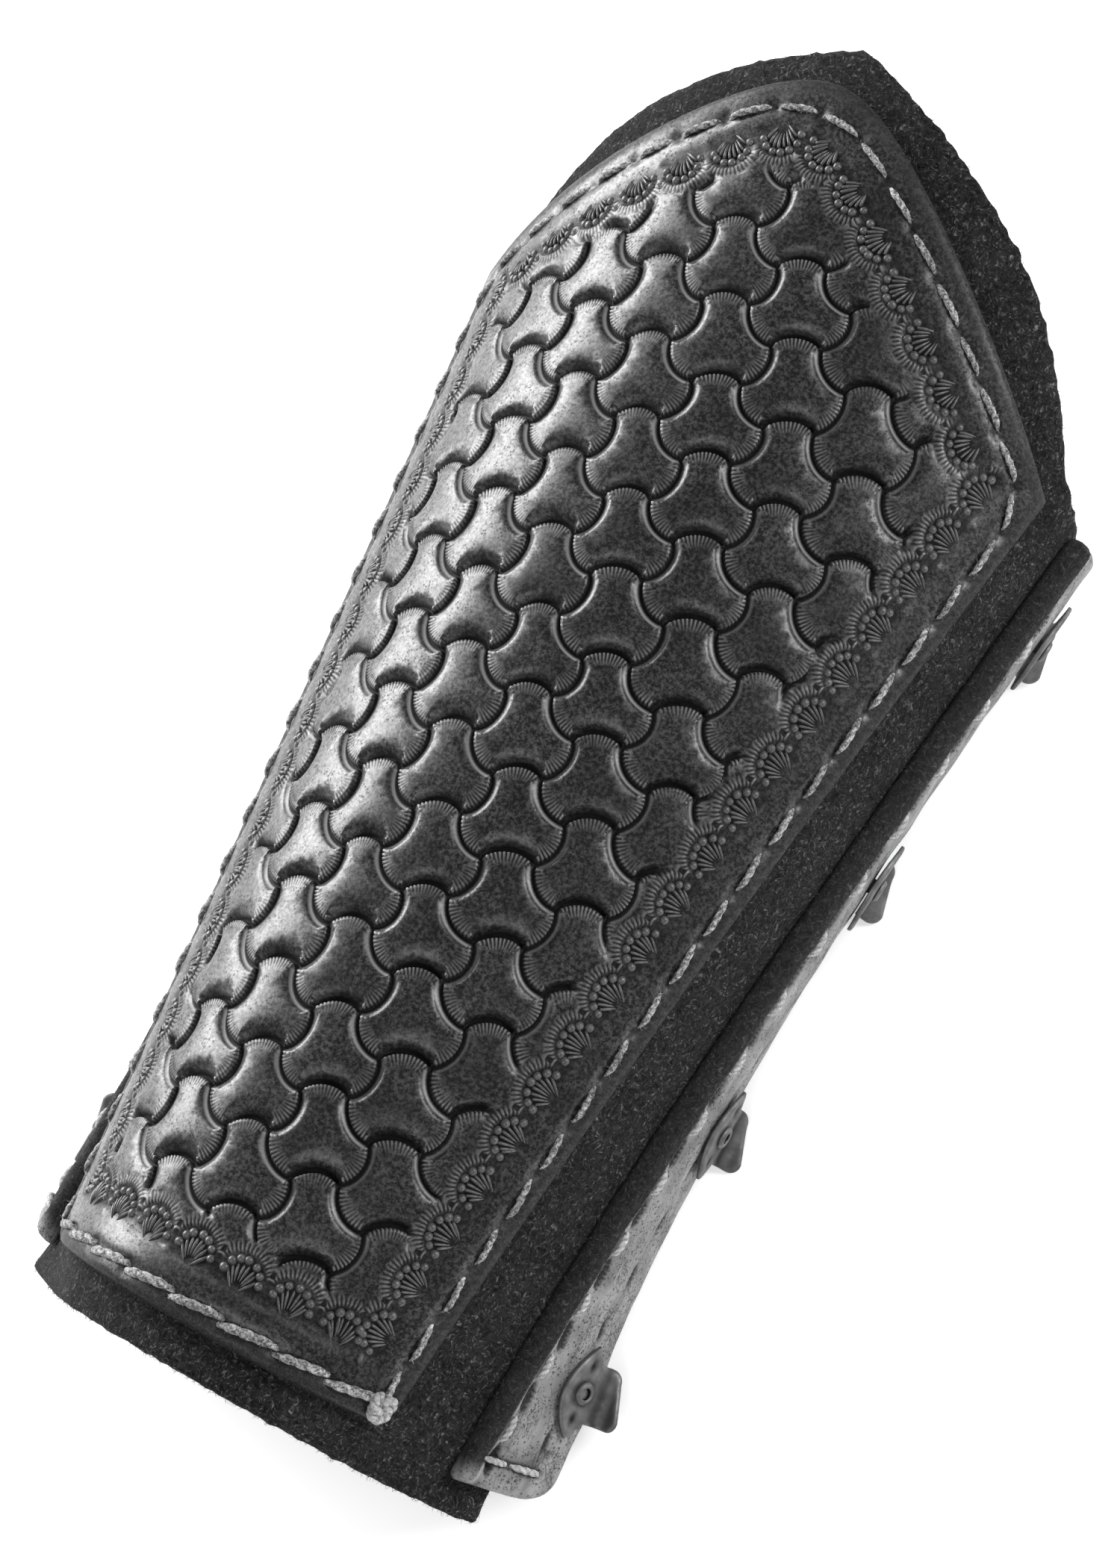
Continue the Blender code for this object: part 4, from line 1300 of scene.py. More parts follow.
@dataclass
class Plate:
    """The stamped plate with its border stamps, stitches and knot."""

    shop: Workshop
    shape: PlateShape = field(default_factory=PlateShape)
    stamp: ScaleStamp = field(default_factory=ScaleStamp)
    edge_step: float = 1.0
    bevel: float = 2.6
    bevel_drop: float = 0.9
    side_seam: float = 3.8
    arch_seam: float = 5.0
    stitch_pitch: float = 9.6
    shell_pitch: float = 9.6
    shell_inset: float = 10.6
    pearl_ring: float = 3.5
    pearl_radius: float = 0.82
    pearls: int = 7
    rays: int = 8
    hinge: float = 2.9
    ray_length: float = 3.2
    fan_lines: float = 46.0
    fan_rings: tuple[float, ...] = (4.45, 5.1, 5.9, 6.7)
    ruled_line: float = 8.0
    ruled_half: float = 33.0
    knot_rise: float = 0.3
    knot_radius: float = 2.6
    border_drop: float = 0.22
    fan_depth: float = 0.26
    pit_depth: float = 0.42
    seam_depth: float = 0.42
    hole_depth: float = 0.75
    pucker: float = 0.25
    ray_section: tuple[float, float] = (0.76, 0.66)
    seam_threads: tuple[tuple[float, float, float], ...] = ((1.25, 0.88, 0.05), (1.75, 1.12, 0.12))

    def __post_init__(self) -> None:
        """Work out the lines that the relief and the trimmings share."""
        self.outline = self.shape.outline(self.edge_step)
        self.seams = self.seam_rows()
        self.holes = np.vstack([row.spots for row in self.seams])
        self.shells, self.shell_out = self.shell_places()

    def seam_line(self) -> Array:
        """The stitch line of the sides and the arch, from the right wrist corner round to the left."""
        alongs = np.linspace(1.5, self.shape.shoulder_along - 3.0, 150)
        side = np.column_stack((self.shape.half_width(alongs) - self.side_seam, alongs))
        acrosses = np.linspace(self.shape.shoulder_half - 6.5, 0.0, 150)
        arch = np.column_stack((acrosses, self.shape.arch(acrosses)))
        arch = np.vstack((arch, arch[-2:-1] * (-1.0, 1.0)))
        lowered = offset_line(arch, self.arch_seam, closed=False)[:-1]
        lowered = lowered[(lowered[:, 0] > 0.0) & (lowered[:, 1] > alongs[-1])]
        peak = [(0.0, self.shape.arch(np.array([0.0]))[0] - self.arch_seam - 0.9)]
        half = np.vstack((side, lowered, peak))
        return np.vstack((half, half[-2::-1] * (-1.0, 1.0)))

    def seam_rows(self) -> list[Row]:
        """The holes of the side and arch seam, and of the wrist seam."""
        long = resampled(self.seam_line(), self.stitch_pitch)
        ends = long[0], long[-1]
        wrist = resampled(np.array([(ends[1][0], 3.2), (ends[0][0], 3.2)]), 10.3)
        rows = []
        for spots in (long, wrist):
            heading = np.gradient(spots, axis=0)
            heading /= np.linalg.norm(heading, axis=1)[:, None]
            rows.append(Row(spots, heading))
        return rows

    def shell_places(self) -> tuple[Array, Array]:
        """Middles of the shell stamps, and the outward direction of each."""
        line = self.shape.outline(0.5)
        inner = offset_line(line, self.shell_inset)
        gap, _, _ = line_distance(inner, line)
        inner = inner[gap > self.shell_inset - 0.05]
        spots = resampled(inner, self.shell_pitch, closed=True)
        _, _, heading = line_distance(spots, line)
        return spots, np.column_stack((heading[:, 1], -heading[:, 0]))

    def shell_field(self, points: Array) -> tuple[Array, Array, Array]:
        """How flat points lie round their nearest shell stamp.

        Args:
            points: the flat points.

        Returns:
            The distance from its middle, the angle from its outward direction, and how far
            outwards of its middle they lie.
        """
        shell = np.full(len(points), 1e9)
        around = np.zeros(len(points))
        outward = np.zeros(len(points))
        for spot, out in zip(self.shells, self.shell_out):
            arm = points - spot
            gap = np.linalg.norm(arm, axis=1)
            nearer = gap < shell
            shell[nearer] = gap[nearer]
            across = arm @ np.array((-out[1], out[0]))
            around[nearer] = np.arctan2(across, arm @ out)[nearer]
            outward[nearer] = (arm @ out)[nearer]
        return shell, around, outward

    def relief(self, points: Array) -> dict[str, Array]:
        """The face's height and its paint masks at flat points.

        Args:
            points: flat points of the plate's face.

        Returns:
            lift in millimetres over the face, and the masks of painted shade in the cuts and of painted
            highlight and wear on the rims.
        """
        edge = line_distance(points, self.outline)[0]
        shell, around, outward = self.shell_field(points)
        ring, far = self.pearl_ring + self.pearl_radius, self.fan_rings[-1]
        toward = smooth(np.abs(around), 1.45, 1.95)
        inner = smooth(edge, self.shell_inset + 0.5, self.shell_inset + 1.6)
        inner = inner * smooth(shell, ring + 0.1 + toward * 1.6, ring + 0.8 + toward * 2.2)
        fan = toward * smooth(shell, ring - 0.1, ring + 0.4) * smooth(shell, far + 0.2, far - 1.0)
        crest = 0.5 + 0.5 * np.cos(around * self.fan_lines)
        pit = smooth(shell, ring + 0.8, ring - 0.3)
        ruled = hump(points[:, 1] - self.ruled_line, 0.45)
        ruled = ruled * smooth(np.abs(points[:, 0]), self.ruled_half, self.ruled_half - 5.0)
        hole = np.min([np.linalg.norm(points - spot, axis=1) for spot in self.holes], axis=0)
        seam = np.min([line_distance(points, row.spots, closed=False)[0] for row in self.seams], axis=0)
        bulge = smooth(edge, 0.6, 2.0) * smooth(edge, 4.4, 2.6)
        scales = self.stamp.press(points)

        lift = inner * scales["lift"] - self.border_drop * (1.0 - inner) * smooth(edge, 5.0, 8.0)
        lift = lift + fan * (0.30 * smooth(shell, far, ring) - self.fan_depth * (1.0 - crest))
        lift = lift - 0.06 * ruled - self.pit_depth * pit * smooth(outward, 3.0, 0.2)
        lift = lift - self.seam_depth * hump(seam, 1.25) - self.hole_depth * hump(hole, 0.95)
        lift = lift - self.pucker * bulge * hump(hole, 3.0) - self.bevel_drop * rounded(edge, self.bevel)
        lift = lift + 0.05 * ripple(points, 17.0, 5) * smooth(edge, 0.0, 3.0) - 0.05

        # Painted shade: dark in the scale cuts, the fan valleys, the holes and the pits round the
        # pearls.
        cut_shades = (inner * scales["cut"], 0.8 * fan * (1.0 - crest), 0.9 * hump(hole, 0.7),
                0.92 * pit * smooth(outward, 2.0, 0.0))
        # Painted highlights on the scales, the fan crests, the edge's bevel and round the holes; the
        # ruled line is lighter too.
        highlights_and_wear = (inner * scales["rim"], 0.50 * fan * crest * hump(shell - ring - 0.9, 0.9),
                0.10 * ruled, 0.10 * hump(edge - 1.5, 0.35),
                0.08 * hump(hole, 2.2) * smooth(edge, 4.0, 2.5))
        return {"lift": lift, "cut": np.max(cut_shades, axis=0), "rim": np.max(highlights_and_wear, axis=0)}

    def build_leather(self) -> Thing:
        """The plate's closed body: a stamped face, a smooth back and a rounded rim."""
        low, high = self.outline.min(axis=0), self.outline.max(axis=0)
        scales = self.stamp.points(low, high)
        scales = scales[inside_line(scales, self.outline)]
        scales = scales[line_distance(scales, self.outline)[0] > self.shell_inset]
        margin = even_grid(self.outline, 1.05, 0.5)
        margin = margin[line_distance(margin, self.outline)[0] < self.shell_inset - 0.4]
        grids = [spots[~self.in_fan(spots)] for spots in (scales, margin)]
        inner = np.vstack([offset_line(self.outline, 0.35), *grids, self.fan_points()])
        face = np.vstack((self.outline, inner))
        look = self.relief(face)
        body = LeatherBody(self.outline, inner, look["lift"], -self.shape.thickness, fray=0.06)
        thing = body.build("plate_tooled", self.shop.finishes.tooled)
        for name in ("cut", "rim"):
            body.write(thing, name, look[name])
        edge = line_distance(face, self.outline)[0]
        body.write(thing, "raw", np.maximum(smooth(edge, 0.5, 0.0), 0.6 * smooth(edge, 3.2, 2.2)), 1.0)
        body.write(thing, "nap", 0.6 * (np.arange(len(face)) < len(self.outline)))
        return thing

    def in_fan(self, spots: Array) -> Array:
        """Whether flat spots lie in the hatched crescent behind a shell stamp."""
        found = np.zeros(len(spots), dtype=bool)
        for spot, out in zip(self.shells, self.shell_out):
            arm = spots - spot
            gap = np.linalg.norm(arm, axis=1)
            near = (gap > self.fan_rings[0] - 0.3) & (gap < self.fan_rings[-1] + 0.3)
            found |= near & (arm @ out < 0.25 * gap)
        return found

    def fan_points(self) -> Array:
        """Points on the crests and valleys of every crescent's hatching."""
        step = math.pi / self.fan_lines
        turns = np.arange(-34, 35) * step + math.pi
        found = []
        for index, (spot, out) in enumerate(zip(self.shells, self.shell_out)):
            along = np.array((-out[1], out[0]))
            arms = np.cos(turns)[:, None] * out + np.sin(turns)[:, None] * along
            spots = np.vstack([spot + arms * ring for ring in self.fan_rings])
            gaps = np.linalg.norm(spots[:, None, :] - self.shells, axis=2)
            own = gaps.argmin(axis=1) == index
            found.append(spots[own & (np.sort(gaps, axis=1)[:, 1] > gaps[:, index] + 0.25)])
        spots = np.vstack(found)
        return spots[inside_line(spots, self.outline)]

    def pearl(self, sides: int = 10) -> Thing:
        """A low round pearl of the shell stamp, one unit in radius."""
        points, faces = [(0.0, 0.0, 0.85)], []
        for height, radius in ((0.72, 0.5), (0.38, 0.86), (-0.1, 1.0), (-0.5, 1.04)):
            points += circle(radius, height, sides)
        faces += [(0, 1 + side, 1 + (side + 1) % sides) for side in range(sides)]
        for ring in range(3):
            quads = band(1 + ring * sides, 1 + (ring + 1) * sides, sides)
            faces += [quad[:1] + quad[:0:-1] for quad in quads]
        faces.append(tuple(reversed(range(1 + 3 * sides, 1 + 4 * sides))))
        return Scene.mesh("pearl", np.array(points), faces, self.shop.finishes.tooled)

    def ray(self) -> Thing:
        """A leaf-shaped ray of the shell stamp, one unit long on X."""
        points, faces = [], []
        sections = 6
        for section in range(sections + 1):
            share = section / sections
            wide = 0.5 * math.sin(math.pi * (0.06 + 0.66 * share)) ** 0.8
            high = 0.85 * math.sin(math.pi * (0.06 + 0.74 * share))
            points += [(share - 0.5, -wide, -0.25), (share - 0.5, -0.5 * wide, 0.7 * high),
                       (share - 0.5, 0.0, high), (share - 0.5, 0.5 * wide, 0.7 * high),
                       (share - 0.5, wide, -0.25)]
        for section in range(sections):
            low, high = section * 5, section * 5 + 5
            faces += [(low + k, high + k, high + k + 1, low + k + 1) for k in range(4)]
            faces.append((low + 4, high + 4, high, low))
        faces += [(0, 1, 2, 3, 4), tuple(5 * sections + k for k in (4, 3, 2, 1, 0))]
        return Scene.mesh("ray", np.array(points), faces, self.shop.finishes.tooled)

    def build_shells(self) -> None:
        """The pearls and rays of the border's shell stamps, raised in their pressed hollows."""
        draw = np.random.default_rng(21)
        pearls, rays = [], []
        for spot, out in zip(self.shells, self.shell_out):
            along = np.array((-out[1], out[0]))
            for turn in np.linspace(-1.42, 1.42, self.pearls):
                lean = turn + draw.normal(0.0, 0.03)
                arm = -out * math.cos(lean) + along * math.sin(lean)
                pearls.append((spot + arm * self.pearl_ring, arm))
            for turn in np.linspace(-1.3, 1.3, self.rays):
                lean = turn + draw.normal(0.0, 0.04)
                start = -out * math.cos(lean) + along * math.sin(lean)
                start = start * (self.pearl_ring - 0.75)
                run = out * self.hinge - start
                reach = np.linalg.norm(run)
                rays.append((spot + start + run * 0.5 * self.ray_length / reach, -run / reach))
        for name, piece, places, size, shine in (
            ("border_pearls", self.pearl(), pearls, (self.pearl_radius,) * 3, 0.18),
            ("border_rays", self.ray(), rays, (self.ray_length, *self.ray_section), 0.19),
        ):
            spots, arms = (np.array(rows) for rows in zip(*places))
            lift = self.relief(spots)["lift"]
            thing = self.shop.set_out.run(
                name, FOREARM.bend(spots, lift), FOREARM.frames(spots, lift, arms),
                np.tile(size, (len(spots), 1)), piece, 0.08, 3)
            # The pearls and rays are painted lighter all over: painted highlight.
            Scene.paint(thing, "rim", shine)
            Scene.keep(thing, slot=Slot.TOOLED)

    def build_seams(self) -> None:
        """The thread of the side, arch and wrist seams, and its loose fibres."""
        spots, headings, sizes, lifts = [], [], [], []
        for row, (thick, overlap, skew) in zip(self.seams, self.seam_threads):
            middle, heading, length = row.between()
            wide = np.full(len(length), thick)
            spots.append(middle)
            headings.append(heading + skew * np.column_stack((-heading[:, 1], heading[:, 0])))
            sizes.append(np.column_stack((length * overlap, wide, wide)))
            lifts.append(self.relief(middle)["lift"] + 0.05)
        spots, lift = np.vstack(spots), np.concatenate(lifts)
        frames = FOREARM.frames(spots, lift, np.vstack(headings))
        thread = self.shop.set_out.run("plate_stitches", FOREARM.bend(spots, lift), frames,
                                       np.vstack(sizes), self.shop.stitch(), 0.06, 7)
        Scene.paint(thread, "nap", 1.0)
        Scene.keep(thread)
        self.shop.fuzz("plate_stitch_fibres", thread, 0.03, 2.2e6, (0.0005, 0.0015), 1.25, 5, True)

    def knot(self, turns: int = 150, around: int = 8) -> Thing:
        """The knot that ends the thread: a thread wound over itself, one unit in radius."""
        angle = np.linspace(0.0, math.tau, turns, endpoint=False)
        wide = 0.52 + 0.26 * np.cos(3.0 * angle)
        path = np.column_stack((wide * np.cos(2.0 * angle), wide * np.sin(2.0 * angle) * 1.1,
                                0.30 * np.sin(3.0 * angle) + 0.1 * np.cos(5.0 * angle)))
        ahead = np.roll(path, -1, axis=0) - np.roll(path, 1, axis=0)
        ahead /= np.linalg.norm(ahead, axis=1)[:, None]
        side = np.cross(ahead, (0.0, 0.0, 1.0))
        side /= np.linalg.norm(side, axis=1)[:, None]
        up = np.cross(side, ahead)
        points, faces, ply_shades = [], [], []
        for ring in range(turns):
            for step in range(around):
                turn = math.tau * step / around
                ply = abs(math.cos(turn - 11.0 * angle[ring]))
                arm = math.cos(turn) * side[ring] + math.sin(turn) * up[ring]
                points.append(path[ring] + 0.33 * (0.7 + 0.3 * ply**0.5) * arm)
                # Painted shade: dark where the plies meet.
                ply_shades.append(max(0.0, 1.0 - ply * 2.2) * 0.7)
            faces += band(ring * around, (ring + 1) % turns * around, around)
        thing = Scene.mesh("knot", np.array(points), faces, self.shop.finishes.thread)
        Scene.write(thing, "ply", np.array(ply_shades))
        return thing

    def build_knots(self) -> None:
        """The knot where the thread ends, in the right wrist corner."""
        spots = np.array([(self.shape.wrist_half - 3.4, 2.6)])
        frames = FOREARM.frames(spots, 0.7, np.array([(-0.8, 0.6)]))
        knot = self.shop.set_out.run("plate_knots", FOREARM.bend(spots, self.knot_rise), frames,
                                     np.full((1, 3), self.knot_radius), self.knot(), 0.05, 31)
        Scene.paint(knot, "nap", 1.0)
        Scene.paint(knot, "pale", 0.35)
        Scene.keep(knot)
        self.shop.fuzz("plate_knot_fibres", knot, 0.03, 3.0e6, (0.0004, 0.0012), 1.2, 33, True)

    def build(self) -> None:
        """Build and dress the whole plate."""
        plate = self.build_leather()
        Scene.keep(plate, ["plate"], Slot.TOOLED)
        self.build_shells()
        self.build_seams()
        self.build_knots()
        self.shop.fuzz("plate_edge_fibres", plate, 0.05, 1.6e6, (0.0003, 0.0007), 0.9, 9)


@dataclass(frozen=True)
class Edges:
    """The side edges that the lining, strips and hooks share, as in the CAD."""

    wrist_near: float = 61.3
    shoulder_near: float = 81.9
    shoulder_along: float = 191.4
    width: float = 18.8
    first_hook: float = 17.5
    last_hook: float = 172.0
    hooks: int = 4
    setback: float = 5.6
    bulge: float = 1.2
    bulge_reach: float = 7.0
    wrist_end: float = -4.0
    elbow_end: float = 190.0

    def near(self, along: Array | float) -> Array | float:
        """The strip's edge that faces the plate."""
        return self.wrist_near + (self.shoulder_near - self.wrist_near) * along / self.shoulder_along

    def hook_alongs(self) -> Array:
        """Distances of the hooks from the wrist edge."""
        return np.linspace(self.first_hook, self.last_hook, self.hooks)

    def hook_across(self, along: float) -> float:
        """Distance of a hook's rivet from the mid line."""
        return self.near(along) + self.width - self.setback

    def far(self, along: Array) -> Array:
        """The strip's outer edge."""
        swell = sum(hump(along - hook, self.bulge_reach) for hook in self.hook_alongs())
        return self.near(along) + self.width + self.bulge * swell


EDGES = Edges()


@dataclass
class Lining:
    """The suede sheet under the plate, roughly cut at the elbow."""

    shop: Workshop
    plate: PlateShape
    face: float = -3.6
    thickness: float = 2.5
    wrist_margin: float = 6.9
    wrist_bow: float = 3.0
    peak: float = 248.2
    tuck: float = 9.2
    grid: float = 2.6
    elbow_edge: tuple[tuple[float, float], ...] = (
        (0.0, 1.0), (0.108, 0.936), (0.217, 0.864), (0.325, 0.778), (0.433, 0.684), (0.542, 0.567),
        (0.650, 0.412), (0.726, 0.275), (0.790, 0.146), (0.867, 0.077), (1.0, 0.0),
    )

    def outline(self) -> Array:
        """The closed outline with its ragged elbow cut."""
        bow = self.wrist_bow / EDGES.near(0.0) ** 2
        corner = EDGES.near(-self.wrist_margin - self.wrist_bow) + self.tuck
        acrosses = np.linspace(0.0, corner, 40)
        wrist = np.column_stack((acrosses, -self.wrist_margin - bow * acrosses**2))
        alongs = np.linspace(wrist[-1, 1], EDGES.elbow_end, 60)[1:]
        side = np.column_stack((EDGES.near(alongs) + self.tuck, alongs))
        shares = np.array(self.elbow_edge[::-1])
        rise = self.peak - EDGES.elbow_end
        edge = np.column_stack((shares[:, 0] * side[-1, 0], EDGES.elbow_end + shares[:, 1] * rise))
        half = np.vstack((wrist, side, edge[1:]))
        loop = resampled(np.vstack((half, half[-2:0:-1] * (-1.0, 1.0))), 1.3, closed=True)
        rough = 0.22 * ripple(loop, 3.0, 31) + 0.16 * ripple(loop, 1.1, 32) - 0.25
        rough *= smooth(loop[:, 1], 186.0, 194.0) + 0.4 * smooth(loop[:, 1], -4.0, -7.0)
        before = offset_line(loop, 1.0) - loop
        return loop - before * rough[:, None]

    def build(self) -> None:
        """Build the sheet and its loose fibres."""
        loop = self.outline()
        inner = np.vstack((offset_line(loop, 0.8), even_grid(loop, self.grid, 1.6)))
        face = np.vstack((loop, inner))
        edge = line_distance(face, loop)[0]
        lift = self.face - 0.35 * smooth(edge, 1.2, 0.0) + 0.10 * ripple(face, 14.0, 33) - 0.1
        body = LeatherBody(loop, inner, lift, self.face - self.thickness, fray=0.12)
        thing = body.build("lining_suede", self.shop.finishes.suede)
        cover = self.plate.outline(3.0)
        shown = np.where(inside_line(face, cover), smooth(line_distance(face, cover)[0], 2.5, 1.0), 1.0)
        body.write(thing, "nap", np.maximum(shown * 0.30, smooth(edge, 1.0, 0.2)))
        Scene.keep(thing, ["lining"], Slot.SUEDE)
        self.shop.fuzz("lining_fibres", thing, 0.045, 1.3e6, (0.0005, 0.0012), 1.2, 17)


@dataclass(frozen=True)
class Slit:
    """A short cut through which a stitch dives; the pairs are where its slope (dip) and its painted
    shade (dark) start and end.
    """

    aside: float
    half_wide: float
    half_long: float
    depth: float
    dip: tuple[float, float]
    dark: tuple[float, float]


@dataclass
class Strip:
    """A folded strip over one long edge of the lining, with its stitches."""

    shop: Workshop
    side: int
    back: float = -3.1
    thickness: float = 4.2
    corner: float = 5.5
    fold: float = 2.5
    first_seam: float = 3.4
    second_seam: float = 12.2
    first_pitch: float = 12.4
    second_pitch: float = 11.0
    end_seam: float = 1.2
    end_stitches: tuple[float, ...] = (1.6, 7.4, 14.0)
    grid: float = 0.48
    thread: float = 1.25
    stitch_share: float = 0.46
    edge_radius: float = 1.9
    slits: tuple[Slit, Slit] = (
        Slit(0.55, 0.72, 3.0, 0.80, (1.25, 0.5), (1.15, 0.95)),
        Slit(0.0, 0.55, 2.3, 0.50, (1.6, 0.4), (1.3, 0.7)),
    )

    def outline(self) -> Array:
        """The closed outline of the right strip."""
        radius, low, high = self.corner, EDGES.wrist_end, EDGES.elbow_end
        turns = np.linspace(0.0, 0.5 * math.pi, 9)
        first = np.column_stack((np.zeros(9), low + radius * (1.0 - np.cos(turns))))
        first[:, 0] = EDGES.far(first[:, 1]) - radius * (1.0 - np.sin(turns))
        last = np.column_stack((np.zeros(9), high - radius * (1.0 - np.sin(turns))))
        last[:, 0] = EDGES.far(last[:, 1]) - radius * (1.0 - np.cos(turns))
        alongs = np.linspace(low + radius, high - radius, 150)[1:-1]
        side = np.column_stack((EDGES.far(alongs), alongs))
        start = np.array([(EDGES.near(low) + 0.8, low), (EDGES.near(low), low + 0.8)])
        end = np.array([(EDGES.near(high) + 0.8, high), (EDGES.near(high), high - 0.8)])
        line = np.vstack((start[:1], first, side, last, end, start[1:]))
        loop = resampled(line, 1.0, closed=True)
        return loop + (0.10 * ripple(loop, 9.0, 41 + self.side))[:, None] * (1.0, 0.3)

    def marks(self) -> tuple[Array, Array]:
        """Holes of the first seam, and middles of the second seam's short dark stitches."""
        alongs = np.arange(EDGES.wrist_end + 5.2, EDGES.elbow_end - 3.0, self.first_pitch)
        first = np.column_stack((EDGES.near(alongs) + self.first_seam, alongs))
        alongs = np.arange(EDGES.wrist_end + 11.0, EDGES.elbow_end - 5.0, self.second_pitch)
        second = np.column_stack((EDGES.near(alongs) + self.second_seam, alongs))
        return first, second

    def relief(self, face: Array, loop: Array) -> dict[str, Array]:
        """The face's height and masks."""
        across = face[:, 0] - EDGES.near(face[:, 1])
        edge = line_distance(face, loop)[0]
        lift = self.back + self.thickness - self.edge_radius * rounded(edge, self.edge_radius)
        wander = 0.12 * ripple(face, 22.0, 44)
        fold = smooth(across + wander, self.fold + 0.3, self.fold - 0.3)
        lift = lift - 0.25 * (1.0 - fold) + 0.30 * hump(across + wander - self.fold, 0.45)
        # A lighter band just past the fold's ridge: painted highlight and wear.
        rim = 0.9 * hump(across + wander - self.fold - 0.45, 0.42)
        cut = np.zeros(len(face))
        lift = lift - 0.30 * hump(across - self.first_seam, 1.0)
        for spots, slit in zip(self.marks(), self.slits):
            for spot in spots:
                arm = (face - spot - (slit.aside, 0.0)) / (slit.half_wide, slit.half_long)
                gap = np.hypot(arm[:, 0], arm[:, 1])
                lift = lift - slit.depth * smooth(gap, *slit.dip)
                # cut paints shade into each slit's dip.
                cut = np.maximum(cut, smooth(gap, *slit.dark))
        lift = lift + 0.14 * ripple(face, 11.0, 45) * smooth(edge, 0.0, 2.5) - 0.1
        ends = smooth(across, 1.6, 2.6) * smooth(across, 15.0, 13.5)
        # Painted shade along the wrist end's seam.
        cut = np.maximum(cut, 0.9 * smooth(np.abs(face[:, 1] - self.end_seam), 1.2, 0.6) * ends)
        lift = lift - 0.35 * hump(face[:, 1] - self.end_seam, 1.2) * ends
        # A faint dark line of painted shade along the second seam.
        cut = np.maximum(cut, 0.25 * hump(across - self.second_seam, 0.5))
        lift = lift - 0.15 * hump(across - self.second_seam, 1.0)
        fold = fold * smooth(face[:, 1] + 6.0 * wander, EDGES.wrist_end + 0.5, EDGES.wrist_end + 5.0)
        return {"lift": lift, "fold": fold, "cut": cut, "rim": rim}

    def build(self) -> None:
        """Build the strip, its thread and its fibres."""
        word = SIDE_WORDS[self.side]
        loop = self.outline()
        inner = np.vstack((offset_line(loop, 0.35), even_grid(loop, self.grid, 0.7)))
        face = np.vstack((loop, inner))
        look = self.relief(face, loop)
        body = LeatherBody(loop, inner, look["lift"], self.back, fray=0.04, back_step=5.0,
                           side=self.side, place=self.place, levels=((0.12, 0.35), (0.12, 0.65)))
        thing = body.build(f"strip_{word}_leather", self.shop.finishes.strip)
        near = smooth(face[:, 0] - EDGES.near(face[:, 1]), 3.5, 0.5)
        for name, back in (("fold", 1.0), ("cut", 0.0), ("rim", 0.0)):
            body.write(thing, name, look[name], back)
        body.write(thing, "nap", 0.5 * look["fold"] + 0.5 * near)
        Scene.keep(thing, [f"strip_{word}"], Slot.STRIP)
        self.build_thread(word)
        self.shop.fuzz(f"strip_{word}_fibres", thing, 0.045, 1.0e6, (0.0004, 0.0010), 1.2,
                       23 + self.side)

    def place(self, flat: Array, lift: Array) -> Array:
        """Bend the strip's points on its own side."""
        return FOREARM.bend(flat * (self.side, 1.0), lift)

    def build_thread(self, word: str) -> None:
        """The first seam's stitches and the row across the wrist end."""
        first, _ = self.marks()
        middle, heading, length = Row(first, first).between()
        low = EDGES.near(self.end_seam)
        ends = np.array([(low + across, self.end_seam) for across in self.end_stitches])
        last, turned, span = Row(ends, ends).between()
        middle, heading = np.vstack((middle, last)), np.vstack((heading, turned))
        length = np.concatenate((length * self.stitch_share, span))
        lift = np.full(len(middle), self.back + self.thickness - 0.25)
        mirror = np.array((self.side, 1.0))
        frames = FOREARM.frames(middle * mirror, lift, heading * mirror)
        wide = np.full(len(length), self.thread)
        thread = self.shop.set_out.run(
            f"strip_{word}_stitches", FOREARM.bend(middle * mirror, lift), frames,
            np.column_stack((length, wide, wide)), self.shop.stitch(), 0.08, 27 + self.side)
        Scene.paint(thread, "nap", 1.0)
        Scene.paint(thread, "pale", 0.4)
        Scene.keep(thread)
        self.shop.fuzz(f"strip_{word}_stitch_fibres", thread, 0.03, 1.5e6, (0.0006, 0.0018), 1.3,
                       29 + self.side, True)


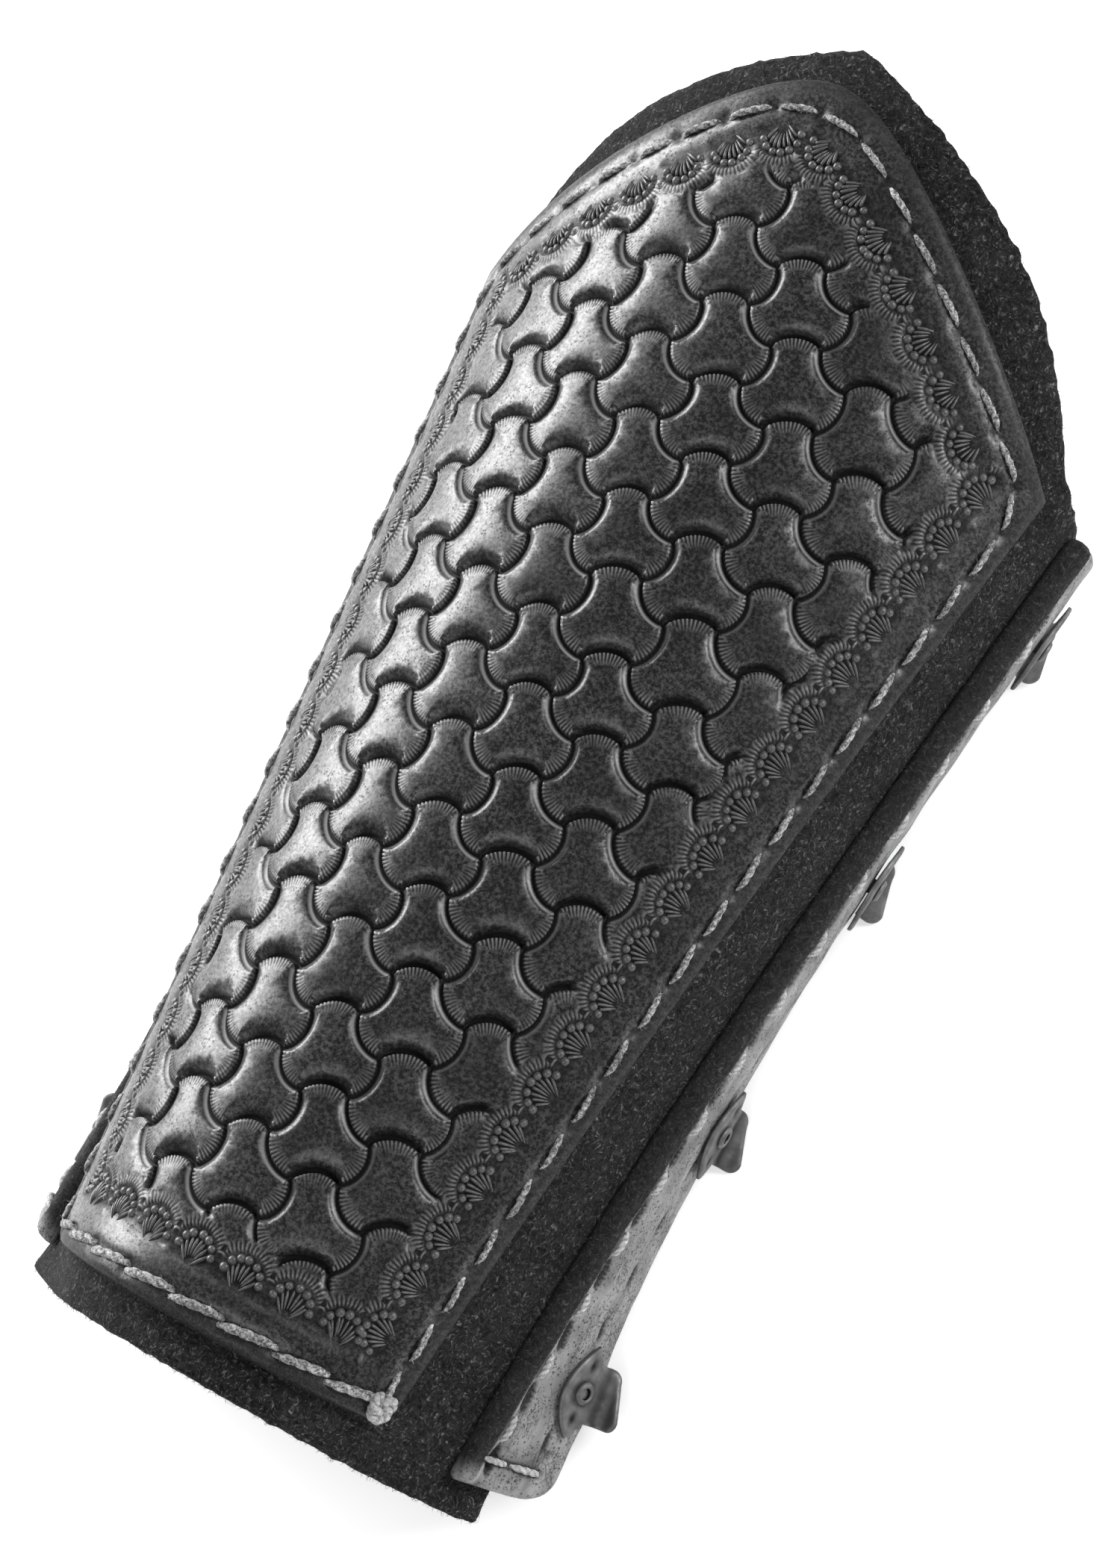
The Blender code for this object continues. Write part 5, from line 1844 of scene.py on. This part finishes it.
@dataclass
class Hook:
    """One lacing hook: a leaf riveted to the strip, and a tongue bent up at its edge."""

    shop: Workshop
    side: int
    number: int
    leaf_back: float = 1.4
    sheet: float = 1.0
    half_length: float = 8.75
    half_width: float = 4.25
    half_tongue: float = 5.5
    bend_start: float = 4.0
    bend_radius: float = 2.7
    bend_angle: float = math.radians(100.0)
    tip: float = 1.8
    slant: float = 2.3
    corner: float = 2.2
    dimple: float = 5.0
    dimple_depth: float = 0.38
    edge_drop: float = 0.28
    leaf_drop: float = 0.12

    def outline(self) -> Array:
        """The flat blank's outline, anticlockwise, with the gap towards +X."""
        end = self.bend_start + self.bend_radius * self.bend_angle + self.tip
        alongs = np.linspace(self.half_length, -self.half_length, 26)
        back = np.column_stack((-self.half_width * (1.0 - (alongs / self.half_length) ** 2), alongs))
        turns = np.linspace(0.0, 0.5 * math.pi, 8)
        rise = np.linspace(-self.half_length, -self.half_tongue, 7)[1:]
        first = np.column_stack((self.half_width * (1.0 - (rise / self.half_length) ** 2), rise))
        high = np.column_stack((end - self.corner * (1.0 - np.sin(turns)),
                                -self.half_tongue + self.corner * (1.0 - np.cos(turns))))
        low = np.column_stack((end - self.slant - self.corner * (1.0 - np.cos(turns)),
                               self.half_tongue - self.corner * (1.0 - np.sin(turns))))
        last = first[::-1] * (1.0, -1.0)
        return resampled(np.vstack((back, first, high, low, last)), 0.5, closed=True)

    def place(self, flat: Array, lift: Array) -> Array:
        """Bend the blank's tongue, then lay the hook on the strip."""
        past = np.maximum(flat[:, 0] - self.bend_start, 0.0)
        turn = np.minimum(past / self.bend_radius, self.bend_angle)
        rest = np.maximum(past - self.bend_radius * self.bend_angle, 0.0)
        out = np.minimum(flat[:, 0], self.bend_start) + self.bend_radius * np.sin(turn)
        out = out + rest * np.cos(turn)
        up = self.bend_radius * (1.0 - np.cos(turn)) + rest * np.sin(turn)
        out, up = out - lift * np.sin(turn), up + lift * np.cos(turn)
        along = EDGES.hook_alongs()[self.number - 1]
        across = self.side * (EDGES.hook_across(along) + out)
        spots = np.column_stack((across, along + self.side * flat[:, 1]))
        return FOREARM.bend(spots, self.leaf_back + up)

    def build(self) -> None:
        """Build the hook's closed sheet."""
        loop = self.outline()
        inner = np.vstack((offset_line(loop, 0.22), even_grid(loop, 0.62, 0.45)))
        face = np.vstack((loop, inner))
        edge = line_distance(face, loop)[0]
        middle = np.linalg.norm(face, axis=1)
        dimple = sum(hump(np.hypot(face[:, 0] * 1.7, face[:, 1] - self.dimple * end), 1.35)
                     for end in SIDES)
        lift = self.sheet - self.edge_drop * smooth(edge, 0.35, 0.0)
        lift = lift - self.dimple_depth * dimple - self.leaf_drop * smooth(middle, 1.5, 2.8)
        body = LeatherBody(loop, inner, lift, 0.0, fray=0.0, back_step=1.4, side=self.side,
                           place=self.place, levels=((0.06, 0.3), (0.07, 0.7)))
        node = f"hook_{SIDE_WORDS[self.side]}_{self.number}"
        thing = body.build(f"{node}_bent", self.shop.finishes.metal)
        past = face[:, 0] - self.bend_start
        # Painted shade inside the tongue's bend, in the dimples and round the rivet; the back is painted
        # shaded too.
        hollow = 0.6 * hump(past - 1.2, 1.6) + 1.0 * dimple + 0.7 * hump(middle - 2.3, 0.5)
        body.write(thing, "hollow", np.clip(hollow, 0.0, 0.95), 0.35)
        Scene.keep(thing, [node], Slot.METAL)


@dataclass
class Rivets:
    """The hollow eyelet rivets of all hooks."""

    shop: Workshop
    sides: int = 36
    leaf_back: float = 1.4
    profile: tuple[tuple[float, float], ...] = (
        (1.00, -5.0), (1.00, 1.20), (1.03, 1.45), (1.12, 1.60), (1.27, 1.68), (1.45, 1.70), (1.65, 1.66),
        (1.85, 1.54), (2.00, 1.36), (2.08, 1.14), (2.10, 0.95), (1.40, 0.90), (1.40, -4.5), (2.5, -4.55),
        (2.8, -4.8), (2.85, -5.1), (2.6, -5.35), (1.3, -5.4), (1.05, -5.25),
    )

    def eyelet(self) -> Thing:
        """One rivet, turned about Z, in millimetres."""
        points, faces = [], []
        rings = len(self.profile)
        for radius, height in self.profile:
            points += circle(radius, height, self.sides)
        for ring in range(rings):
            quads = band(ring * self.sides, (ring + 1) % rings * self.sides, self.sides)
            faces += [quad[:1] + quad[:0:-1] for quad in quads]
        thing = Scene.mesh("eyelet", np.array(points), faces, self.shop.finishes.metal)
        # The rivet's inside is painted dark: painted shade in the tube.
        inside = [1.0 if radius < 1.08 else 0.0 for radius, _ in self.profile]
        Scene.write(thing, "hollow", np.repeat(inside, self.sides) * 0.9)
        return thing

    def build(self) -> None:
        """Set a rivet in every hook."""
        spots = np.array([(side * EDGES.hook_across(along), along)
                          for side in SIDES for along in EDGES.hook_alongs()])
        lift = np.full(len(spots), self.leaf_back)
        frames = FOREARM.frames(spots, lift, np.tile((0.0, 1.0), (len(spots), 1)))
        thing = self.shop.set_out.run("rivets_turned", FOREARM.bend(spots, lift), frames,
                                      np.ones((len(spots), 3)), self.eyelet())
        nodes = [f"rivet_{SIDE_WORDS[side]}_{n + 1}" for side in SIDES for n in range(EDGES.hooks)]
        Scene.keep(thing, nodes, Slot.METAL)


def build_stage(shop: Workshop) -> None:
    """The floor, the lights and the world."""
    floor = Scene.mesh("floor", np.array([(-3, -3, 0), (3, -3, 0), (3, 3, 0), (-3, 3, 0)], dtype=float),
                       [(0, 1, 2, 3)], shop.finishes.floor)
    world = bpy.data.worlds.new("studio")
    world.use_nodes = True
    world.node_tree.nodes["Background"].inputs["Color"].default_value = (1.0, 1.0, 1.0, 1.0)
    world.node_tree.nodes["Background"].inputs["Strength"].default_value = 0.18
    bpy.context.scene.world = world
    bpy.context.scene.view_settings.view_transform = "Standard"
    lights = (
        ("softbox_left", (-1.02, 0.20, 0.42), (0.90, 0.50), 23.5),
        ("rim_right", (0.82, 0.52, 0.42), (0.15, 0.35), 4.0),
        ("soft_back", (0.62, 0.66, 0.68), (0.60, 0.50), 4.0),
        ("fill_top", (0.3, -1.0, 1.3), (1.2, 1.2), 10.0),
    )
    for name, spot, size, power in lights:
        light = bpy.data.lights.new(name, "AREA")
        light.shape = "RECTANGLE"
        light.size, light.size_y = size
        light.energy = power
        thing = bpy.data.objects.new(name, light)
        thing.location = spot
        thing.rotation_mode = "QUATERNION"
        thing.rotation_quaternion = (-Vector(spot)).to_track_quat("-Z", "Y")
        bpy.context.scene.collection.objects.link(thing)


@dataclass(frozen=True)
class Eye:
    """The camera, at the photograph's place."""

    turn: tuple[float, float, float] = (2.6152196, 0.7000288, -0.5096335)
    shift: tuple[float, float, float] = (4.2747958, 11.7348221, 716.0708164)
    pivot: tuple[float, float, float] = (0.0, 116.0, 0.0)
    focal_share: float = 5262.4 / 2100.0
    roll: float = -0.00638
    slide: tuple[float, float] = (-0.00162, -0.00267)

    def build(self) -> None:
        """Place the camera and make it the scene's."""
        vector = Vector(self.turn)
        rotation = Matrix.Rotation(vector.length, 3, vector.normalized())
        centre = Vector(self.pivot) - rotation.transposed() @ Vector(self.shift)
        data = bpy.data.cameras.new("camera")
        data.sensor_width = 36.0
        data.lens = 36.0 * self.focal_share
        data.shift_x, data.shift_y = self.slide
        data.clip_start, data.clip_end = 0.01, 20.0
        thing = bpy.data.objects.new("camera", data)
        tip = Matrix.Rotation(FOREARM.rest_pitch, 3, "X")
        axes = Matrix((rotation[0], -rotation[1], -rotation[2])).transposed()
        spot = FOREARM.rested(np.array([tuple(centre)]))[0]
        rolled = tip @ axes @ Matrix.Rotation(self.roll, 3, "Z")
        thing.matrix_world = Matrix.Translation(spot.tolist()) @ rolled.to_4x4()
        bpy.context.scene.collection.objects.link(thing)
        bpy.context.scene.camera = thing


def main() -> None:
    """Build every piece in order."""
    logging.basicConfig(level=logging.INFO, format="%(message)s")
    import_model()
    Eye().build()
    shop = Workshop()
    build_stage(shop)
    plate = Plate(shop)
    plate.build()
    Lining(shop, plate.shape).build()
    for side in SIDES:
        Strip(shop, side).build()
        for number in range(1, EDGES.hooks + 1):
            Hook(shop, side, number).build()
    Rivets(shop).build()


if __name__ == "__main__":
    main()
